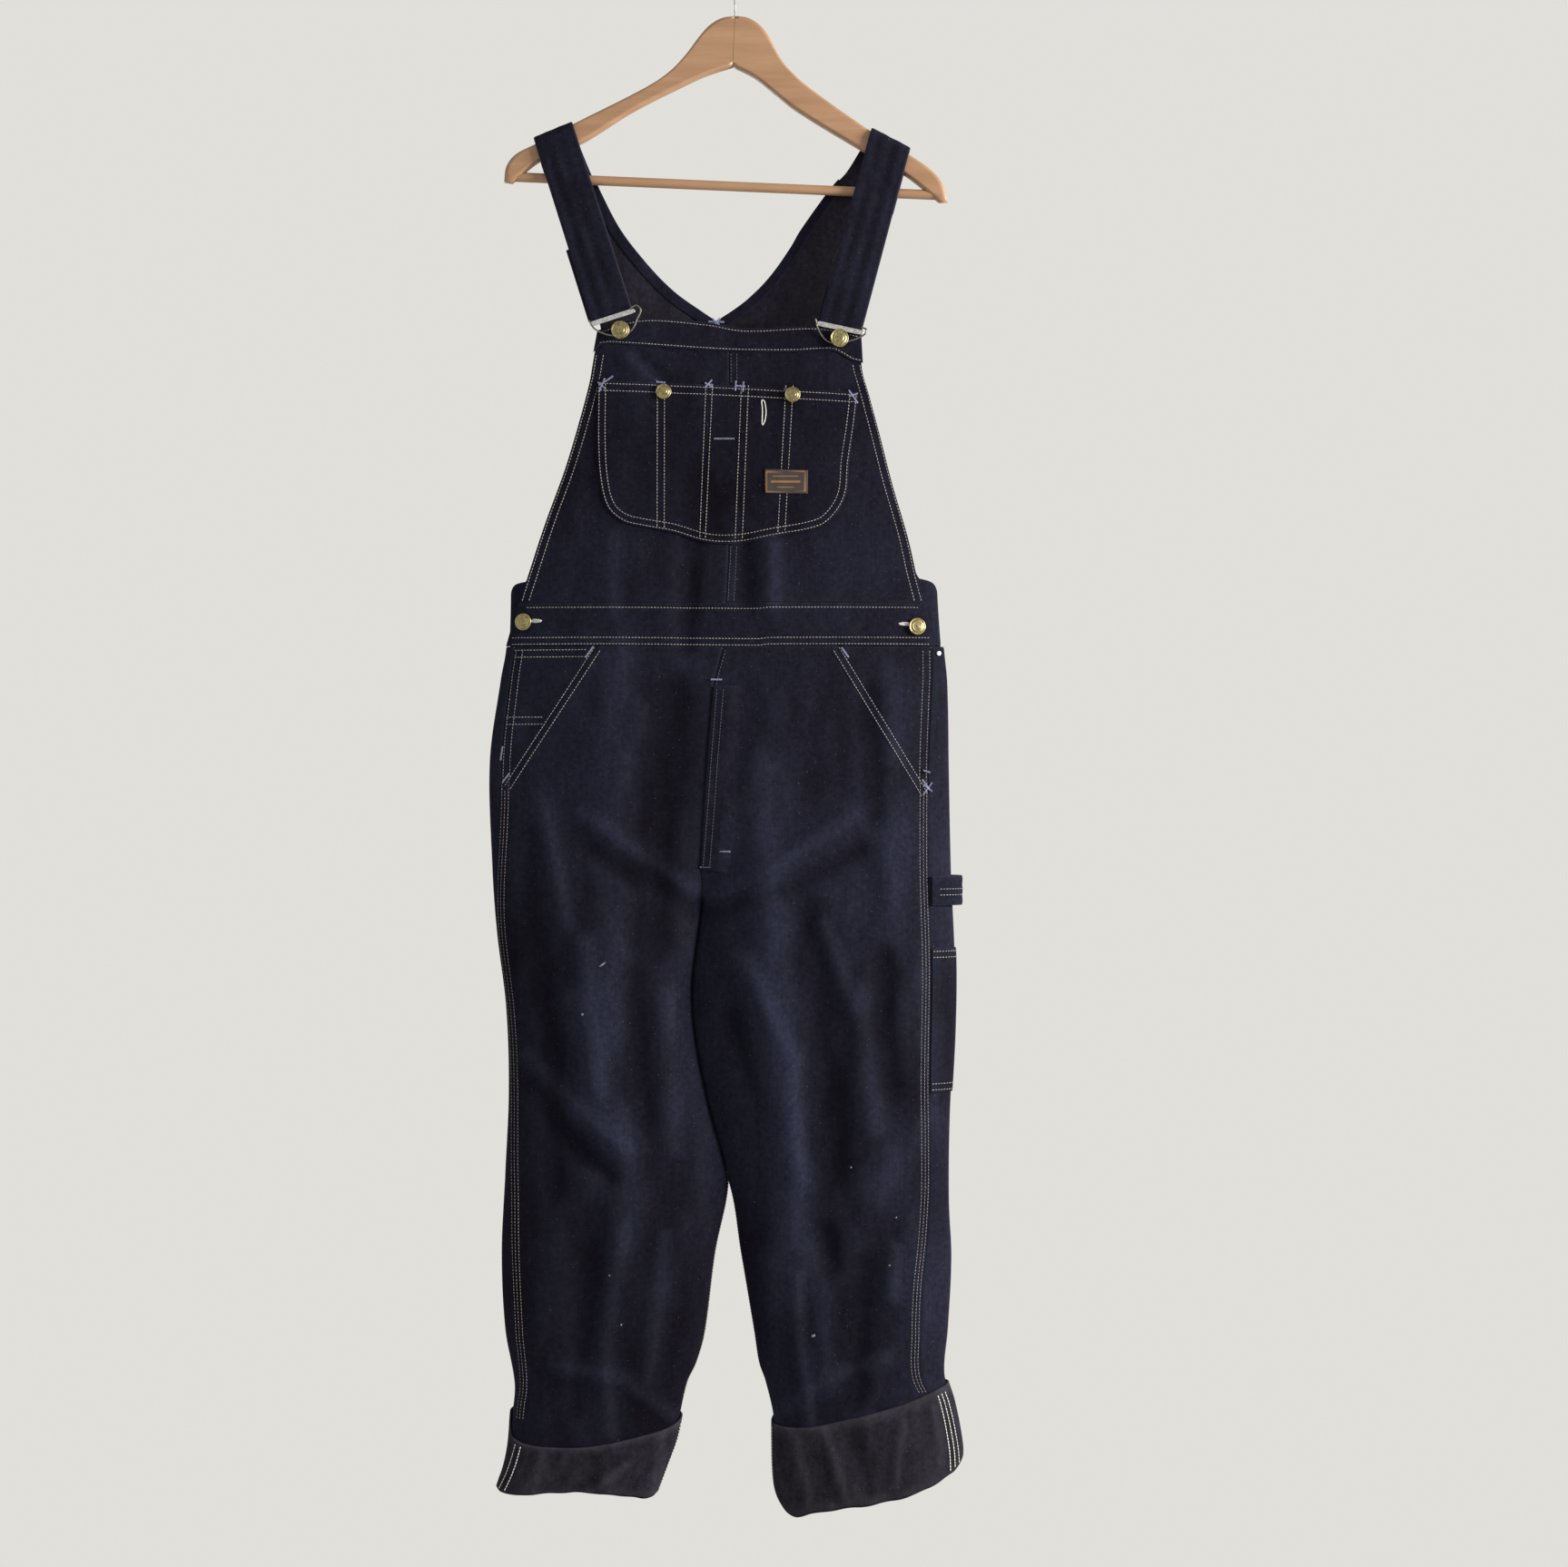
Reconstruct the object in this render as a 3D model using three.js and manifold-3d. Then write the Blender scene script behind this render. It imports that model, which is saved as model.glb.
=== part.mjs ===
// Denim bib overalls hanging flat on a wooden hanger, in millimetres.
// +Z is up, +X is to the viewer's right and the garment's front faces -Y.
// The origin is the inner top of the hanger's hook, where a rail carries it.
import * as THREE from "three";
import { mergeVertices } from "three/addons/utils/BufferGeometryUtils.js";
import Module from "manifold-3d";

const wasm = await Module();
wasm.setup();

// ---- driving dimensions ----
const CLOTH = 1.6; // wall of one layer of denim
const SEAM_GAP = 0.3; // between pieces that meet at a seam
const LAY_GAP = 0.4; // under a piece that lies on another
const PATCH = 1.3; // thickness of a patch, band or pocket
const ROUNDNESS = 0.8; // power of the sine in a section: under 1 is flatter than an ellipse

const BIB_TOP = -395;
const BAND_TOP = -669; // waistband's upper edge
const WAIST = -712; // waistband's lower edge, where the trousers start
const RISE_START = -870; // here the crotch seam starts to curve under
const CROTCH = -968;
const TOOL_POCKET_TOP = -1013;
const TOOL_POCKET_BOTTOM = -1157;
const LEG_JOIN = 0.3; // how far down inside the cuff the leg panels end
const BACK_TOP = -232; // the back's two horns end here, behind the straps

const FRONT_COLUMNS = 10;
const BACK_COLUMNS = 12;
const BIB_COLUMNS = 7;
const TORSO_ROWS = 9;

// ---- curves ----
// A smooth curve through [at, value] pairs, given in order of at, flat past its ends.
function curve(...pairs) {
  const knots = pairs[0][0] < pairs.at(-1)[0] ? pairs : pairs.toReversed();
  const slope = (i) => {
    const before = knots[Math.max(i - 1, 0)];
    const after = knots[Math.min(i + 1, knots.length - 1)];
    return (after[1] - before[1]) / (after[0] - before[0]);
  };
  return (at) => {
    if (at <= knots[0][0]) return knots[0][1];
    if (at >= knots.at(-1)[0]) return knots.at(-1)[1];
    const i = knots.findIndex((knot) => knot[0] > at) - 1;
    const [a, b] = [knots[i], knots[i + 1]];
    const span = b[0] - a[0];
    const t = (at - a[0]) / span;
    const rise = b[1] - a[1];
    const bend = (slope(i) + slope(i + 1)) * span - 2 * rise;
    return a[1] + t * (slope(i) * span + t * (rise - slope(i) * span - bend + t * bend));
  };
}

const lerp = THREE.MathUtils.lerp;
const LEFT = -1;
const RIGHT = 1;
const NAME = { [LEFT]: "left", [RIGHT]: "right" };
const FRONT = -1;
const BACK = 1;

// Outer edges of the two sides, from the shoulders down past the leg's turned-up end.
const sideLine = {
  [LEFT]: curve(
    [-232, -222], [-620, -226], [-712, -228], [-745, -233.5], [-827, -244.5], [-930, -242],
    [-995, -237.5], [-1074, -228], [-1156, -225.4], [-1240, -229], [-1320, -232.5],
    [-1395, -229], [-1450, -219.5], [-1480, -221.5], [-1511, -224], [-1535, -229], [-1556, -237],
  ),
  [RIGHT]: curve(
    [-232, 204], [-620, 206], [-669, 208], [-712, 211], [-750, 214.5], [-836, 216],
    [-934, 218], [-1030, 222], [-1100, 221], [-1180, 217], [-1265, 216], [-1325, 218.5],
    [-1395, 215], [-1440, 211.5], [-1467, 219], [-1493, 224.5], [-1519, 228], [-1560, 228],
  ),
};

// Centre front seam, then the line midway between the legs, and how far each leg is from it.
const middleLine = curve(
  [-232, -5], [-600, -4], [-669, -7], [-712, -10], [-755, -20], [-931, -32], [-968, -31],
  [-1049, -41], [-1103, -38], [-1169, -25], [-1249, -5], [-1319, -5.5], [-1400, -4],
  [-1430, -5.9], [-1448, -7], [-1483, -7], [-1505, -9], [-1530, -13.3], [-1560, -18],
);
const legSpread = curve(
  [-1245, 0], [-1319, 13.4], [-1400, 25.5], [-1430, 32.1], [-1448, 39.5], [-1483, 47.5], [-1505, 50],
  [-1530, 54.8], [-1560, 61.3],
);
const innerLine = {
  [LEFT]: (z) => middleLine(z) - legSpread(z),
  [RIGHT]: (z) => middleLine(z) + legSpread(z),
};
const LEG_CLEARANCE = 0.35; // each leg stays this far from the line where they touch

// Half depths of the hanging garment, front and back.
const depth = {
  [FRONT]: curve(
    [-232, 13], [-393, 14], [-550, 19], [-712, 25], [-850, 30], [-968, 30], [-1100, 27],
    [-1300, 25], [-1480, 25],
  ),
  [BACK]: curve(
    [-232, 12.5], [-393, 15], [-550, 18], [-712, 24], [-850, 31], [-968, 32], [-1100, 28],
    [-1300, 25], [-1480, 25],
  ),
};

// How far in from the side the outseam shows on the front.
const outseamInset = {
  [LEFT]: curve(
    [-712, 8], [-854, 12], [-990, 1.2], [-1150, 1.2], [-1202, 3], [-1320, 10], [-1395, 10],
    [-1465, 3],
  ),
  [RIGHT]: curve(
    [-712, 12], [-766, 17], [-850, 21], [-1000, 24.5], [-1107, 24.5], [-1200, 20], [-1265, 20],
    [-1345, 29], [-1424, 26], [-1470, 18],
  ),
};

// ---- folds that hang in the cloth: [height out of the sheet, half width, line of [x, z]] ----
const FOLDS = {
  [FRONT]: [
    [4.0, 30, [[-121, -730], [-123, -1090]]],
    [-4.0, 26, [[-66, -770], [-74, -1000]]],
    [4.0, 20, [[-154, -1069], [-139, -1168], [-106, -1218], [-112, -1301]]],
    [4.5, 24, [[26, -840], [34, -1065], [50, -1357]]],
    [-4.0, 24, [[84, -976], [92, -1129]]],
    [3.0, 22, [[165, -870], [160, -1003]]],
    [3.0, 20, [[190, -1192], [144, -1251]]],
    [2.0, 20, [[38, -615], [36, -668]]],
    [-2.0, 22, [[-30, -560], [-46, -700]]],
  ],
  [BACK]: [
    [4.0, 30, [[-118, -760], [-126, -1100]]],
    [4.0, 28, [[96, -780], [104, -1120]]],
    [-4.0, 26, [[40, -980], [62, -1240]]],
    [-4.0, 26, [[-80, -1000], [-96, -1260]]],
    [2.5, 26, [[-100, -560], [-96, -690]]],
    [2.5, 26, [[84, -560], [90, -690]]],
  ],
};

function distanceToLine(x, z, line) {
  let least = Infinity;
  for (let i = 0; i + 1 < line.length; i++) {
    const [[ax, az], [bx, bz]] = [line[i], line[i + 1]];
    const along = ((x - ax) * (bx - ax) + (z - az) * (bz - az)) / ((bx - ax) ** 2 + (bz - az) ** 2);
    const t = THREE.MathUtils.clamp(along, 0, 1);
    least = Math.min(least, Math.hypot(x - lerp(ax, bx, t), z - lerp(az, bz, t)));
  }
  return least;
}

function foldHeight(face, x, z) {
  let height = 0;
  for (const [rise, width, line] of FOLDS[face]) {
    height += rise * Math.exp(-((distanceToLine(x, z, line) / width) ** 2));
  }
  return height;
}

// ---- the garment's sections ----
// A section is a flat ring. Angle 0 is at the side, positive angles are on the front.
// Above the crotch each side is a quarter front and back; below it the ring closes.
function closingAngle(z) {
  const under = THREE.MathUtils.clamp((RISE_START - z) / (RISE_START - CROTCH), 0, 1);
  const open = Math.sqrt(1 - under * under) ** (1 / ROUNDNESS);
  return Math.PI - Math.asin(open);
}

function section(side, z) {
  const clearance = z < RISE_START ? LEG_CLEARANCE : 0;
  const outer = sideLine[side](z);
  const inner = innerLine[side](z) + side * clearance;
  const radius = Math.abs(outer - inner) / (1 - Math.cos(closingAngle(z)));
  return { radius, centre: outer - side * radius };
}

// A point of the cloth's outer face at an angle of the section, moved out by a distance.
function ringPoint(side, z, angle, out = 0) {
  const { radius, centre } = section(side, z);
  const face = angle >= 0 ? FRONT : BACK;
  const across = Math.abs(Math.sin(angle)) ** ROUNDNESS;
  const x = centre + side * (radius + out) * Math.cos(angle);
  const fold = foldHeight(face, x, z) * across * across;
  return new THREE.Vector3(x, face * ((depth[face](z) + out) * across + fold), z);
}

// A point above the crotch given by its x, on the front or the back.
function torsoPoint(face, x, z, out = 0) {
  const side = x < middleLine(z) ? LEFT : RIGHT;
  const { radius, centre } = section(side, z);
  const share = THREE.MathUtils.clamp(Math.abs(x - centre) / radius, 0, 1);
  return ringPoint(side, z, -face * Math.acos(share), out);
}

function outseamAngle(side, z) {
  const seen = Math.max(z, CUFF_SEAM_LEVEL);
  return Math.acos(1 - outseamInset[side](seen) / section(side, seen).radius);
}

// The angles of a leg's columns: the front from outseam to inner edge, then the back likewise.
function frontAngles(side, z) {
  const start = outseamAngle(side, z);
  const end = closingAngle(z);
  return Array.from({ length: FRONT_COLUMNS + 1 }, (_, j) => lerp(start, end, j / FRONT_COLUMNS));
}

function backAngles(side, z) {
  const start = outseamAngle(side, z);
  const end = -closingAngle(z);
  return Array.from({ length: BACK_COLUMNS + 1 }, (_, j) => lerp(start, end, j / BACK_COLUMNS));
}

// ---- making solids ----
// Pulls the border of a grid of points in along the sheet, so that seams have a gap.
function drawnIn(grid, by = SEAM_GAP / 2) {
  const rows = grid.length;
  const columns = grid[0].length;
  const pull = (from, to) => from.clone().add(to.clone().sub(from).setLength(by));
  const out = grid.map((row) => row.map((point) => point.clone()));
  for (let i = 0; i < rows; i++) {
    out[i][0] = pull(out[i][0], out[i][1]);
    out[i][columns - 1] = pull(out[i][columns - 1], out[i][columns - 2]);
  }
  for (let j = 0; j < columns; j++) {
    out[0][j] = pull(out[0][j], out[1][j]);
    out[rows - 1][j] = pull(out[rows - 1][j], out[rows - 2][j]);
  }
  return out;
}

function meshGeometry(points, triangles) {
  const geometry = new THREE.BufferGeometry();
  let volume = 0;
  for (const [a, b, c] of triangles) {
    volume += points[a].dot(points[b].clone().cross(points[c]));
  }
  const faces = volume < 0 ? triangles.map(([a, b, c]) => [a, c, b]) : triangles;
  geometry.setAttribute(
    "position",
    new THREE.Float32BufferAttribute(points.flatMap((p) => p.toArray()), 3),
  );
  geometry.setIndex(faces.flat());
  geometry.computeVertexNormals();
  return geometry;
}

// A closed wall between two like grids of points.
function wallBetween(outer, inner) {
  const rows = outer.length;
  const columns = outer[0].length;
  const points = [...outer.flat(), ...inner.flat()];
  const triangles = [];
  const at = (layer, i, j) => layer * rows * columns + i * columns + j;
  const quad = (a, b, c, d) => triangles.push([a, b, c], [a, c, d]);
  for (let i = 0; i + 1 < rows; i++) {
    for (let j = 0; j + 1 < columns; j++) {
      triangles.push([at(0, i, j), at(0, i, j + 1), at(0, i + 1, j + 1)]);
      triangles.push([at(0, i, j), at(0, i + 1, j + 1), at(0, i + 1, j)]);
      triangles.push([at(1, i, j), at(1, i + 1, j + 1), at(1, i, j + 1)]);
      triangles.push([at(1, i, j), at(1, i + 1, j), at(1, i + 1, j + 1)]);
    }
  }
  for (let i = 0; i + 1 < rows; i++) {
    quad(at(0, i, 0), at(0, i + 1, 0), at(1, i + 1, 0), at(1, i, 0));
    const last = columns - 1;
    quad(at(0, i + 1, last), at(0, i, last), at(1, i, last), at(1, i + 1, last));
  }
  for (let j = 0; j + 1 < columns; j++) {
    quad(at(0, 0, j + 1), at(0, 0, j), at(1, 0, j), at(1, 0, j + 1));
    const last = rows - 1;
    quad(at(0, last, j), at(0, last, j + 1), at(1, last, j + 1), at(1, last, j));
  }
  return meshGeometry(points, triangles);
}

// A wall on a sheet, where grid(out) gives the sheet's points moved out by a distance.
function sheetWall(grid, low, high) {
  return wallBetween(drawnIn(grid(high)), drawnIn(grid(low)));
}

function solidFrom(geometry) {
  const bare = geometry.index ? geometry.toNonIndexed() : geometry.clone();
  bare.deleteAttribute("normal");
  bare.deleteAttribute("uv");
  const merged = mergeVertices(bare, 1e-4);
  return new wasm.Manifold(
    new wasm.Mesh({
      numProp: 3,
      vertProperties: merged.attributes.position.array,
      triVerts: new Uint32Array(merged.index.array),
    }),
  );
}

function geometryFrom(solid) {
  const { vertProperties, triVerts } = solid.getMesh();
  const geometry = new THREE.BufferGeometry();
  geometry.setAttribute("position", new THREE.BufferAttribute(vertProperties, 3));
  geometry.setIndex(new THREE.BufferAttribute(triVerts, 1));
  geometry.computeVertexNormals();
  return geometry;
}

// A prism over an outline of [x, z], reaching from y = 0 out through the front or the back.
const PRISM_REACH = 80;
function prism(outline, face = FRONT) {
  const shape = new THREE.Shape(outline.map(([x, z]) => new THREE.Vector2(x, z)));
  const geometry = new THREE.ExtrudeGeometry(shape, { depth: PRISM_REACH, bevelEnabled: false });
  geometry.rotateX(Math.PI / 2);
  if (face === BACK) geometry.translate(0, PRISM_REACH, 0);
  return solidFrom(geometry);
}

function patchOn(grid, outline, low, high, face = FRONT) {
  return geometryFrom(solidFrom(sheetWall(grid, low, high)).intersect(prism(outline, face)));
}

// A round wire along a line of points.
function wire(points, diameter, steps, sides = 8) {
  const ring = new THREE.Shape();
  ring.absarc(0, 0, diameter / 2, 0, 2 * Math.PI);
  const path = new THREE.CatmullRomCurve3(points.map((p) => new THREE.Vector3(...p)));
  return new THREE.ExtrudeGeometry(ring, {
    extrudePath: path,
    steps,
    curveSegments: sides / 2,
    bevelEnabled: false,
  });
}

// A flat band along a path, each row given as a centre, and one direction across it.
function ribbon(centres, across, width, thickness) {
  const half = across.clone().setLength(width / 2);
  const outward = centres.map((_, i) => {
    const before = centres[Math.max(i - 1, 0)];
    const after = centres[Math.min(i + 1, centres.length - 1)];
    return after.clone().sub(before).cross(across).setLength(thickness / 2);
  });
  const layer = (sign) =>
    centres.map((centre, i) =>
      [-1, 0, 1].map((side) =>
        centre.clone().addScaledVector(half, side).addScaledVector(outward[i], sign),
      ),
    );
  return wallBetween(layer(1), layer(-1));
}

// ---- materials ----
const colour = (hex, roughness, metalness = 0) =>
  new THREE.MeshStandardMaterial({ color: hex, roughness, metalness, side: THREE.DoubleSide });
const denim = colour(0x1d2036, 0.9);
const denimInside = colour(0x34323a, 0.92);
const beech = colour(0xcaa072, 0.5);
const brass = colour(0xa88f50, 0.35, 0.9);
const steel = colour(0xc4c4c2, 0.3, 0.95);
const labelCloth = colour(0x2a1c16, 0.85);

const overalls = new THREE.Group();
function add(name, geometry, material) {
  const mesh = new THREE.Mesh(geometry, material);
  mesh.name = name;
  overalls.add(mesh);
  return mesh;
}

// ---- bib ----
const bibEdge = {
  [LEFT]: curve(
    [-395, -135], [-424, -140], [-452, -145], [-527, -166], [-591, -189], [-646, -207],
    [-669, -214.5], [-712, -227.5],
  ),
  [RIGHT]: curve(
    [-395, 127], [-431, 129], [-457, 136], [-503, 148], [-547, 159], [-603, 175], [-643, 184],
    [-669, 191], [-712, 201],
  ),
};
const bibTop = curve([-135, -397], [-91, -385], [-27, -389], [10, -395], [85, -393], [127, -401]);

// Columns of x across half a sheet, from left to right, evenly spread in angle.
function halfColumns(side, z, edge, seam) {
  const { radius, centre } = section(side, z);
  const angleOf = (x) => Math.acos((side * (x - centre)) / radius);
  const [from, to] = side === LEFT ? [edge(z), seam(z)] : [seam(z), edge(z)];
  return Array.from({ length: BIB_COLUMNS + 1 }, (_, j) => {
    const angle = lerp(angleOf(from), angleOf(to), j / BIB_COLUMNS);
    return centre + side * radius * Math.cos(angle);
  });
}

// Grid of one bib half: its top row follows the bib's upper edge.
function bibGrid(side) {
  const topColumns = halfColumns(side, BIB_TOP, bibEdge[side], middleLine);
  return (out) =>
    Array.from({ length: TORSO_ROWS + 1 }, (_, k) => {
      const level = lerp(BIB_TOP, BAND_TOP, k / TORSO_ROWS);
      return halfColumns(side, level, bibEdge[side], middleLine).map((x, j) => {
        const z = lerp(bibTop(topColumns[j]), BAND_TOP, k / TORSO_ROWS);
        return torsoPoint(FRONT, x, z, out);
      });
    });
}

// Both halves as one sheet, for what lies across the centre seam.
function joined(leftGrid, rightGrid) {
  return (out) => {
    const [left, right] = [drawnIn(leftGrid(out)), drawnIn(rightGrid(out))];
    return left.map((row, i) => [...row, ...right[i]]);
  };
}

for (const side of [LEFT, RIGHT]) {
  add(`bib_${NAME[side]}`, sheetWall(bibGrid(side), -CLOTH, 0), denim);
}
const bibFront = joined(bibGrid(LEFT), bibGrid(RIGHT));

const HEM_EDGE = [
  [-170, -422], [-131, -410], [-27, -417], [61, -419], [100, -417], [122, -429], [170, -432],
  [170, -360], [-170, -360],
];
add("bib_hem", patchOn(bibFront, HEM_EDGE, LAY_GAP, LAY_GAP + PATCH), denim);

const POCKET_OUTLINE = [
  [-135, -447], [-135, -517], [-131, -556], [-123, -577], [-108, -590], [-59, -600],
  [-30, -609], [-10, -611], [10, -610], [43, -604], [86, -594], [103, -580], [112, -560],
  [115, -529], [124, -459],
];
const pocketTop = LAY_GAP + PATCH;
add("bib_pocket", patchOn(bibFront, POCKET_OUTLINE, LAY_GAP, pocketTop), denim);

const LABEL_OUTLINE = [[31, -536.5], [31.3, -560.5], [73, -561], [73.4, -537.5]];
const LABEL_THICKNESS = 0.8;
const labelLow = pocketTop + LAY_GAP;
add(
  "bib_label",
  patchOn(bibFront, LABEL_OUTLINE, labelLow, labelLow + LABEL_THICKNESS),
  labelCloth,
);

// ---- waistband ----
const BAND_PROUD = 0.8;
function bandGrid(side) {
  const rows = 3;
  return (out) =>
    Array.from({ length: rows + 1 }, (_, k) => {
      const z = lerp(BAND_TOP, WAIST, k / rows);
      return halfColumns(side, z, bibEdge[side], middleLine).map((x) =>
        torsoPoint(FRONT, x, z, out),
      );
    });
}
add(
  "waistband_front",
  sheetWall(joined(bandGrid(LEFT), bandGrid(RIGHT)), -CLOTH, BAND_PROUD),
  denim,
);

// ---- side plackets, under the waistband's ends ----
const PLACKET_LOW = -711;
const PLACKET_UNDER = CLOTH + 1.4;
const plackets = {
  [LEFT]: { from: -0.26, to: 0.52, top: curve([-0.26, -662], [0, -658], [0.2, -650], [0.52, -646]) },
  [RIGHT]: { from: -0.26, to: 0.56, top: curve([-0.26, -660], [0, -656], [0.2, -648], [0.56, -642]) },
};
for (const side of [LEFT, RIGHT]) {
  const { from, to, top } = plackets[side];
  const grid = (out) =>
    Array.from({ length: 4 }, (_, k) =>
      Array.from({ length: 9 }, (_, j) => {
        const angle = lerp(from, to, j / 8);
        return ringPoint(side, lerp(top(angle), PLACKET_LOW, k / 3), angle, out);
      }),
    );
  add(`placket_${NAME[side]}`, sheetWall(grid, -PLACKET_UNDER - CLOTH, -PLACKET_UNDER), denim);
}

// ---- back above the waist: the neck's V and two horns that run up into the straps ----
const backEdge = {
  [LEFT]: curve(
    [-232, -190], [-270, -177], [-330, -155], [-400, -133], [-470, -139], [-540, -160],
    [-600, -184], [-640, -206], [-655, -218], [-672, -223], [-712, -225.5],
  ),
  [RIGHT]: curve(
    [-232, 168], [-270, 160], [-330, 140], [-400, 121], [-470, 131], [-540, 150], [-600, 168],
    [-640, 186], [-655, 197], [-672, 203], [-712, 208.5],
  ),
};
const NECK = -382; // bottom of the V
const backSeam = curve([-382, -18], [-550, -12], [-712, -10]);
const neckLine = {
  [LEFT]: curve(
    [-232, -144], [-255, -134], [-292, -114], [-326, -87], [-353, -60], [-372, -33], [-382, -18],
  ),
  [RIGHT]: curve(
    [-232, 113], [-246, 101], [-260, 90], [-292, 67], [-309, 57], [-338, 36], [-360, 14],
    [-372, -2], [-382, -18],
  ),
};
for (const side of [LEFT, RIGHT]) {
  const above = 5;
  const below = 9;
  const levels = [
    ...Array.from({ length: above }, (_, k) => lerp(BACK_TOP, NECK, k / above)),
    ...Array.from({ length: below + 1 }, (_, k) => lerp(NECK, WAIST, k / below)),
  ];
  const inner = (z) => (z > NECK ? neckLine[side](z) : backSeam(z));
  const grid = (out) =>
    levels.map((z) =>
      halfColumns(side, z, backEdge[side], inner).map((x) => torsoPoint(BACK, x, z, out)),
    );
  add(`back_${NAME[side]}`, sheetWall(grid, -CLOTH, 0), denimInside);
}

// ---- legs ----
const CUFF_SEAM_LEVEL = -1470; // the outseam keeps its angle below this
const cuffEdges = {
  [LEFT]: {
    top: { front: curve([0, -1476], [0.3, -1500], [1.3, -1508], [2.4, -1494], [Math.PI, -1482]),
      back: curve([0, -1476], [1.5, -1470], [Math.PI, -1482]) },
    bottom: { front: curve([0, -1554], [0.7, -1557], [1.6, -1553], [2.7, -1562], [Math.PI, -1560]),
      back: curve([0, -1554], [1.5, -1552], [Math.PI, -1560]) },
  },
  [RIGHT]: {
    top: { front: curve([0, -1447], [0.6, -1453], [1.5, -1474], [2.3, -1489], [Math.PI, -1488]),
      back: curve([0, -1447], [1.5, -1458], [Math.PI, -1488]) },
    bottom: { front: curve([0, -1520], [0.7, -1543], [1.19, -1558], [2.19, -1574], [2.53, -1579],
      [2.85, -1566], [Math.PI, -1546]),
    back: curve([0, -1520], [1.5, -1548], [Math.PI, -1546]) },
  },
};

function cuffLevel(side, angle, down) {
  const { top, bottom } = cuffEdges[side];
  const half = angle >= 0 ? "front" : "back";
  return lerp(top[half](Math.abs(angle)), bottom[half](Math.abs(angle)), down);
}

const spaced = (from, to, count) =>
  Array.from({ length: count }, (_, k) => lerp(from, to, (k + 1) / count));
const crotchLevels = [1, 2, 3, 4, 5].map(
  (k) => RISE_START + (CROTCH - RISE_START) * Math.sin((k * Math.PI) / 10),
);
const LEG_LEVELS = [
  WAIST,
  ...spaced(WAIST, RISE_START, 5),
  ...crotchLevels,
  ...spaced(CROTCH, TOOL_POCKET_TOP, 2),
  ...spaced(TOOL_POCKET_TOP, TOOL_POCKET_BOTTOM, 4),
];
const TILTED_ROWS = 7; // rows from the tool pocket to the cuff, which tilt towards its slant

function legGrid(side, angles) {
  const cuffAngles = angles(side, CUFF_SEAM_LEVEL);
  return (out) => [
    ...LEG_LEVELS.map((z) => angles(side, z).map((angle) => ringPoint(side, z, angle, out))),
    ...spaced(0, 1, TILTED_ROWS).map((t) =>
      cuffAngles.map((last, j) => {
        const z = lerp(TOOL_POCKET_BOTTOM, cuffLevel(side, last, 0), t);
        return ringPoint(side, z, angles(side, z)[j], out);
      }),
    ),
    cuffAngles.map((last) => ringPoint(side, cuffLevel(side, last, LEG_JOIN), last, out)),
  ];
}

const SLASH = {
  [LEFT]: [[-139, -690], [-139, -712], [-229.5, -850], [-262, -850], [-262, -690]],
  [RIGHT]: [[107, -690], [107, -712], [195, -857], [240, -857], [240, -690]],
};
const FACING_SUNK = 0.9; // how far the pocket's facing lies under the slanted edge

for (const side of [LEFT, RIGHT]) {
  const frontGrid = legGrid(side, frontAngles);
  const slash = prism(SLASH[side]);
  const whole = solidFrom(sheetWall(frontGrid, -CLOTH, 0));
  add(`front_leg_${NAME[side]}`, geometryFrom(whole.subtract(slash)), denim);
  const inset = SLASH[side].map(([x, z]) => [x + side * 0.5, z + SEAM_GAP]);
  add(
    `pocket_facing_${NAME[side]}`,
    patchOn(frontGrid, inset, -FACING_SUNK - CLOTH, -FACING_SUNK),
    denim,
  );
  add(`back_leg_${NAME[side]}`, sheetWall(legGrid(side, backAngles), -CLOTH, 0), denim);
}

// ---- fly: the right front's edge, laid over the left ----
const FLY_OUTLINE = [
  [-19, -752], [-26, -840], [-31.4, -934], [-2, -938], [6, -900], [12, -752],
];
add(
  "fly",
  patchOn(legGrid(RIGHT, frontAngles), FLY_OUTLINE, LAY_GAP, LAY_GAP + PATCH),
  denim,
);

// ---- pockets on the back ----
const BACK_POCKETS = {
  [LEFT]: [[-206, -749], [-203, -878], [-134, -906], [-66, -878], [-60, -749]],
  [RIGHT]: [[235, -749], [235, -880], [200, -892], [132, -912], [64, -880], [58, -749]],
};
for (const side of [LEFT, RIGHT]) {
  add(
    `back_pocket_${NAME[side]}`,
    patchOn(legGrid(side, backAngles), BACK_POCKETS[side], LAY_GAP, LAY_GAP + PATCH, BACK),
    denim,
  );
}

const TOOL_POCKET_COLUMNS = 6;
const toolPocketGrid = (out) => {
  const top = LEG_LEVELS.indexOf(TOOL_POCKET_TOP);
  return legGrid(RIGHT, backAngles)(out)
    .slice(top, LEG_LEVELS.length)
    .map((row) => row.slice(0, TOOL_POCKET_COLUMNS + 1));
};
add("tool_pocket", sheetWall(toolPocketGrid, LAY_GAP, LAY_GAP + PATCH), denim);

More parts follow.
